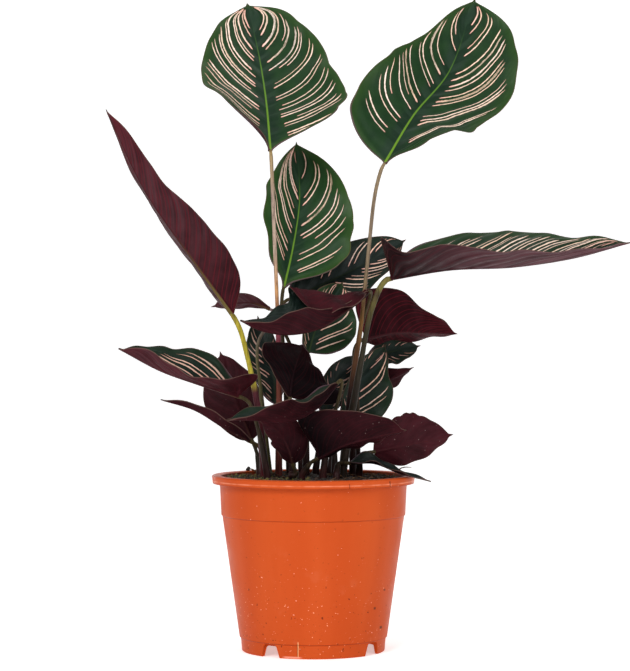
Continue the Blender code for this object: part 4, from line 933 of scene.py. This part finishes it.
def upper_finish():
    """Dark glossy green with a slate herringbone beside the midrib, a grey painted sheen in
    streaks on the darker leaves, a lighter margin, a bright midrib, and the strokes.  A stroke
    opens blunt, wanders a little in width and tone, and runs out to a point; a broad one is
    drawn in streaks."""
    mix = Finish("leaf_upper", Specular_IOR_Level=0.12)
    away, begun, left = own(mix, "stroke")
    vein, code, width = own(mix, "vein")
    along, out, inward = own(mix, "leaf_place")
    fresh, cream, strength = own(mix, "leaf_tone")
    drawn = mix.node("ShaderNodeTexWhiteNoise", {"W": code}, noise_dimensions="1D").outputs["Color"]
    one, two, three = mix.node("ShaderNodeSeparateColor", {0: drawn}).outputs
    wander = mix.reckon("MULTIPLY_ADD", mix.noise(170, 2), 0.7, -0.35)
    away = mix.reckon("ABSOLUTE", mix.reckon("ADD", away, wander))
    half = mix.times(mix.fade(mix.noise(330, 2), 0.3, 0.7, 0.34, 0.52), width, mix.fade(begun, -0.3, 1.2),
                     mix.reckon("POWER", mix.fade(left, 0.0, 6.0), 0.6))
    past = mix.reckon("SUBTRACT", away, half)
    hatch_and_sheen = drawn_out(mix, vein, 2.2, out, 0.15, 2.0, code)
    gaps = mix.times(mix.fade(hatch_and_sheen, 0.58, 0.44, 0.0, 0.75), mix.fade(width, 1.45, 1.75),
                     mix.fade(begun, 3.0, 9.0))
    stroke = mix.times(mix.fade(past, 0.14, -0.14), mix.fade(half, 0.05, 0.14),
                       mix.reckon("SUBTRACT", 1.0, gaps), strength, mix.fade(along, 0.03, 0.1))

    grain = mix.noise(95, 3)
    mix.coat((12, 20, 18))
    mix.coat((24, 36, 30), grain)
    mix.coat(mix.blend(grain, (22, 50, 28), (42, 76, 36)), fresh)
    slate = mix.blend(fresh, (34, 42, 42), (42, 62, 48))
    dark = mix.blend(fresh, (16, 24, 23), (22, 42, 32))
    zone = mix.reckon("MULTIPLY_ADD", mix.noise(240, 2), 9.0, out)
    mix.coat(mix.blend(mix.fade(away, 1.7, 3.4), dark, slate), mix.fade(zone, 18.0, 9.0), 0.6)
    # Painted sheen: grey glints in streaks along the veins on the darker leaves
    mix.coat((50, 64, 64), mix.fade(hatch_and_sheen, 0.52, 0.72, 0.0, 0.55), mix.fade(fresh, 0.6, 0.1))
    mix.coat((62, 92, 32), mix.fade(inward, 13.0, 0.0), mix.reckon("MULTIPLY_ADD", fresh, 0.42, 0.02))
    fine = mix.reckon("SINE", mix.times(vein, 5.2))
    mix.coat((12, 24, 16), mix.fade(fine, 0.1, 1.0, 0.0, 0.2))
    bright = mix.blend(along, (104, 142, 40), (52, 92, 42))
    band = mix.reckon("SUBTRACT", out, mix.reckon("MULTIPLY_ADD", along, -0.85, 1.0))
    mix.coat(mix.blend(mix.fade(fresh, 0.3, 0.6), (30, 40, 26), bright),
             mix.fade(band, 0.3, -0.3), mix.fade(along, 0.92, 0.5))
    near = mix.blend(one, (240, 172, 158), (248, 198, 184))
    pale = mix.blend(two, (255, 238, 224), (246, 214, 184))
    paint = mix.blend(mix.times(mix.fade(begun, -2.0, 8.0), mix.fade(cream, -0.6, 1.0)), near, pale)
    paint = mix.blend(mix.times(mix.fade(three, 0.5, 1.0), 0.3), paint, (150, 128, 100))
    mix.coat(mix.blend(mix.fade(past, -0.28, 0.05, 0.0, 0.75), paint, (206, 126, 108)), stroke, 0.95)
    lip = mix.reckon("SUBTRACT", inward, mix.fade(along, 0.3, 0.1, 0.9, 2.0))
    worn = mix.blend(fresh, (92, 58, 54), (104, 96, 60))
    mix.coat(mix.blend(mix.fade(along, 0.3, 0.1), worn, (104, 70, 84)), mix.fade(lip, 0.0, -0.6, 0.0, 0.6))
    mix.dull(120, 3, 0.32, 0.46)
    relief = mix.reckon("MULTIPLY_ADD", fine, 0.25, mix.noise(900, 2))
    mix.bump(mix.reckon("MULTIPLY_ADD", stroke, 0.5, relief), 0.25, 0.0002)
    return mix.material


def under_finish():
    """Wine red, darker towards the base (partly the leaf's own wine, partly painted shade), with a
    mauve painted sheen in streaks between the side veins, which show a clearer red, and a narrow
    olive keel that reddens upwards."""
    mix = Finish("leaf_under")
    away, _, _ = own(mix, "stroke")
    vein, _, _ = own(mix, "vein")
    along, out, inward = own(mix, "leaf_place")
    sheen, dusk, olive = own(mix, "leaf_tone")
    mix.put(mix.reckon("MULTIPLY_ADD", sheen, 0.05, 0.02), mix.shader.inputs["Specular IOR Level"])
    mix.coat((42, 14, 18))
    mix.coat((62, 23, 29), mix.fade(mix.noise(70, 4), 0.3, 0.7))
    # The darkness is partly the leaf's own deeper wine and partly painted shade, deepest towards the base
    dusk = mix.times(dusk, mix.fade(along, 0.6, 0.0, 0.6, 1.3))
    mix.coat((14, 7, 9), dusk)
    streak = drawn_out(mix, vein, 0.16, out, 0.03, 3.0)
    # Painted sheen: mauve streaks between the veins, which also paint the light and shade of the quilting
    mix.coat((98, 67, 73), mix.fade(streak, 0.36, 0.66, 0.25, 0.85), mix.fade(along, 0.0, 0.6), sheen)
    line = mix.fade(mix.reckon("ABSOLUTE", away), 0.6, 0.1)
    mix.coat((88, 20, 30), line, mix.fade(mix.reckon("ABSOLUTE", olive), 0.0, 0.8, 0.07, 0.6))
    rib = mix.blend(mix.times(olive, mix.fade(along, 0.45, 0.0)), (62, 26, 30), (112, 98, 54))
    band = mix.reckon("SUBTRACT", out, mix.reckon("MULTIPLY_ADD", along, -0.4, 0.45))
    mix.coat(mix.blend(mix.times(dusk, 0.8), rib, (24, 11, 14)), mix.fade(band, 0.25, -0.25))
    _, _, height = mix.parts()
    mix.coat((140, 120, 116), mix.fade(mix.noise(520, 1), 0.75, 0.78, 0.0, 0.5), mix.fade(height, 0.22, 0.18))
    mix.coat((112, 88, 78), mix.fade(inward, 0.8, 0.3, 0.0, 0.5))
    mix.dull(150, 3, 0.38, 0.54)
    fine = mix.reckon("SINE", mix.times(vein, 5.2))
    relief = mix.reckon("MULTIPLY_ADD", fine, 0.3, mix.noise(800, 3))
    mix.bump(mix.reckon("MULTIPLY_ADD", line, 0.5, relief), 0.3, 0.00025)
    return mix.material


upper, under = upper_finish(), under_finish()
for number, leaf in enumerate(LEAVES):
    stand_for(blade(leaf, number, upper, under), ("blade_" + leaf.name,))


# The stalks
# Fleshy stems, sheathed where they leave the compost, with a short stretch of its own radius
# just under the blade, where the leaf hinges.  Each is rooted in the compost and runs on into its blade's
# keel.

STALK_RINGS = 72
STALK_SIDES = 20
STALK_SUNK = (26, 12, 2)
STALK_START = 4
STALK_SEAT = 0.45
COLLAR_STRAIGHT = 9.3
STALK_REACH = 1.6
STALK_EASING = 40

# Tints from root to blade; the dark ends by the compost are partly the stems' own wine red and partly painted
# shade
STALK_TINTS = {
    "01": ((0, (110, 50, 44)), (0.25, (110, 58, 46)), (0.42, (122, 52, 66)), (0.56, (196, 146, 98)),
           (0.68, (184, 160, 142)), (0.85, (160, 138, 124)), (1, (152, 130, 84))),
    "02": ((0, (30, 16, 15)), (0.25, (34, 18, 17)), (0.36, (84, 54, 32)), (0.48, (124, 88, 48)),
           (0.62, (122, 104, 80)), (0.8, (136, 118, 98)), (1, (142, 122, 92))),
    "04": ((0, (78, 26, 32)), (0.5, (74, 30, 38)), (0.56, (186, 172, 62)), (0.9, (176, 160, 50)),
           (1, (128, 116, 50))),
    "05": ((0, (46, 36, 26)), (0.4, (38, 32, 24)), (0.7, (46, 42, 28)), (0.84, (84, 76, 40)),
           (0.88, (60, 46, 30)), (0.91, (104, 98, 50)), (1, (112, 104, 54))),
    "13": ((0, (72, 24, 30)), (0.4, (58, 30, 28)), (1, (84, 76, 44))),
    "21": ((0, (80, 76, 44)), (0.6, (98, 92, 62)), (1, (128, 108, 108))),
}
PLAIN_TINTS = ((0, (46, 20, 20)), (0.3, (40, 30, 22)), (0.8, (62, 52, 32)), (1, (74, 64, 38)))


def stalk(leaf, material):
    """A closed stalk: rings round a smooth line from its root, through the table's points, into
    the blade's keel.  The radius falls from sheath to stem along straight steps, and the colour
    runs between the tints along the way."""
    base, ahead, right, front = (part[0] for part in line_frame(leaf.midrib, np.zeros(1)))
    face = math.radians(leaf.face[0])
    up = math.cos(face) * right + math.sin(face) * front
    center = base - STALK_SEAT * (BLADE_THICKNESS + KEEL_AT_BASE) * up
    top = SOIL_EDGE + SOIL_MOUND * (1 - (math.hypot(*leaf.root) / SOIL_RADIUS) ** 2) ** 2
    points = np.array(((*leaf.root, top + STALK_START), *leaf.stalk, center - COLLAR_STRAIGHT * ahead,
                       center + STALK_REACH * ahead))
    places = np.linspace(0, 1, STALK_RINGS)
    middle = line_frame(points, places)[0]
    order = np.arange(STALK_RINGS)
    ease = np.clip(np.minimum(order, order[::-1]) / 6 - 0.3, 0, 0.5)[1:-1, None]
    for _ in range(STALK_EASING):
        middle[1:-1] += ease * ((middle[:-2] + middle[2:]) / 2 - middle[1:-1])
    middle, _, right, front = line_frame(middle, places)
    wide, slim, end = leaf.radii
    radius = np.interp(places, (0, leaf.sheath, min(leaf.sheath + 0.12, 0.85), 0.9, 0.975, 1),
                       (wide, slim + 0.6, slim, end, end, 0.72 * end))
    sunk = np.array([(*leaf.root, top - depth) for depth in STALK_SUNK])
    middle = np.concatenate((sunk, middle))
    right, front, radius, places = (np.concatenate((np.repeat(part[:1], len(sunk), 0), part))
                                    for part in (right, front, radius, places))
    turn = 2 * np.pi * np.arange(STALK_SIDES) / STALK_SIDES
    shape = radius[:, None] * (1 + 0.05 * np.cos(2 * turn + 6 * places[:, None]))
    rings = middle[:, None] + shape[..., None] * (
        np.cos(turn)[:, None] * right[:, None] - np.sin(turn)[:, None] * front[:, None])
    side = np.arange(STALK_SIDES)
    faces = net(len(middle), STALK_SIDES).tolist()
    faces += [side[::-1].tolist(), ((len(middle) - 1) * STALK_SIDES + side).tolist()]
    item = add_piece("stalk_" + leaf.name, rings.reshape(-1, 3), faces, (material,))
    knots, tints = zip(*STALK_TINTS.get(leaf.name, PLAIN_TINTS))
    tints = np.array([pigment(*tint) for tint in tints]).T
    colors = np.stack([np.interp(places, knots, channel) for channel in tints], 1)
    item.data.attributes.new("tint", "FLOAT_COLOR", "POINT").data.foreach_set(
        "color", np.repeat(colors, STALK_SIDES, 0).astype(np.float32).ravel())
    return item


def stalk_finish():
    """Moist stem skin: its own tint with darker lengthwise streaks and small freckles."""
    mix = Finish("leaf_stalk", Roughness=0.42, Specular_IOR_Level=0.12)
    tint = mix.node("ShaderNodeAttribute", attribute_name="tint").outputs["Color"]
    streak = mix.noise(700, 3, (1, 1, 0.08))
    mix.coat(mix.blend(mix.fade(streak, 0.4, 0.7, 0.0, 0.5), tint, (60, 30, 24), "MULTIPLY"))
    mix.coat((70, 26, 30), mix.fade(mix.noise(600, 2), 0.62, 0.7, 0.0, 0.4))
    mix.bump(mix.reckon("MULTIPLY_ADD", streak, 0.7, mix.noise(900, 2)), 0.25, 0.0002)
    return mix.material


stem = stalk_finish()
for leaf in LEAVES:
    stand_for(stalk(leaf, stem), ("stalk_" + leaf.name,))


# The studio
# A seamless white sweep of paper under three large soft lights, seen level with the middle of
# the plant.  Its lengths are in metres, as none of it is part of the plant.

VIEW_DISTANCE = 1.9
VIEW_HEIGHT = 0.2622
VIEW_SIDE = 0.0014
SENSOR_HEIGHT = 36
FOCAL_PIXELS = 2275
PICTURE_HEIGHT = 671
SWEEP_SIDE = 7.0
SWEEP_FRONT = 6.0
SWEEP_BEND = 2.2
BEND_RADIUS = 1.2
SWEEP_TOP = 5.0
DAYLIGHT = 0.26
LIT_PLACE = (POT_AXIS[0], 0, 0.3)

# Name, place, size and power in watts
LIGHTS = (("key", (-0.9, -1.9, 1.4), 1.1, 33), ("fill", (1.2, -1.8, 0.9), 1.2, 15),
          ("top", (0.1, 0.3, 2.0), 1.4, 10))


def sweep_sheet():
    """A level floor that curves up behind the plant in a quarter circle and stands upright."""
    bend = np.linspace(0, np.pi / 2, 25)
    depth = np.concatenate(((-SWEEP_FRONT,), SWEEP_BEND + BEND_RADIUS * np.sin((*bend, bend[-1]))))
    height = np.concatenate(((0.0,), BEND_RADIUS * (1 - np.cos(bend)), (SWEEP_TOP,)))
    sides = (-SWEEP_SIDE, SWEEP_SIDE)
    points = np.stack(np.broadcast_arrays(sides, depth[:, None], height[:, None]), -1).reshape(-1, 3)
    mix = Finish("sweep_paper", Base_Color=(250, 250, 250), Roughness=0.9, Specular_IOR_Level=0.0,
                 Emission_Color=(255, 255, 255), Emission_Strength=0.45)
    faces = net(len(depth), 2, False).tolist()
    return add_piece("sweep", (points - POT_AXIS) / MM, faces, (mix.material,))


sweep_sheet()
for name, place, size, power in LIGHTS:
    light = bpy.data.lights.new(name, "AREA")
    light.shape = "SQUARE"
    light.size = size
    light.energy = power
    lamp = bpy.data.objects.new(name, light)
    lamp.location = place
    lamp.rotation_euler = (Vector(LIT_PLACE) - Vector(place)).to_track_quat("-Z", "Y").to_euler()
    bpy.context.scene.collection.objects.link(lamp)
world = bpy.data.worlds.new("studio")
bpy.context.scene.world = world
world.use_nodes = True
sky = world.node_tree.nodes["Background"].inputs
sky["Color"].default_value = (1, 1, 1, 1)
sky["Strength"].default_value = DAYLIGHT
lens = bpy.data.cameras.new("camera")
lens.sensor_fit = "VERTICAL"
lens.sensor_height = SENSOR_HEIGHT
lens.lens = SENSOR_HEIGHT * FOCAL_PIXELS / PICTURE_HEIGHT
lens.clip_end = 30
camera = bpy.data.objects.new("camera", lens)
camera.location = (POT_AXIS[0] + VIEW_SIDE, POT_AXIS[1] - VIEW_DISTANCE, VIEW_HEIGHT)
camera.rotation_euler = (math.pi / 2, 0, 0)
bpy.context.scene.collection.objects.link(camera)
bpy.context.scene.camera = camera
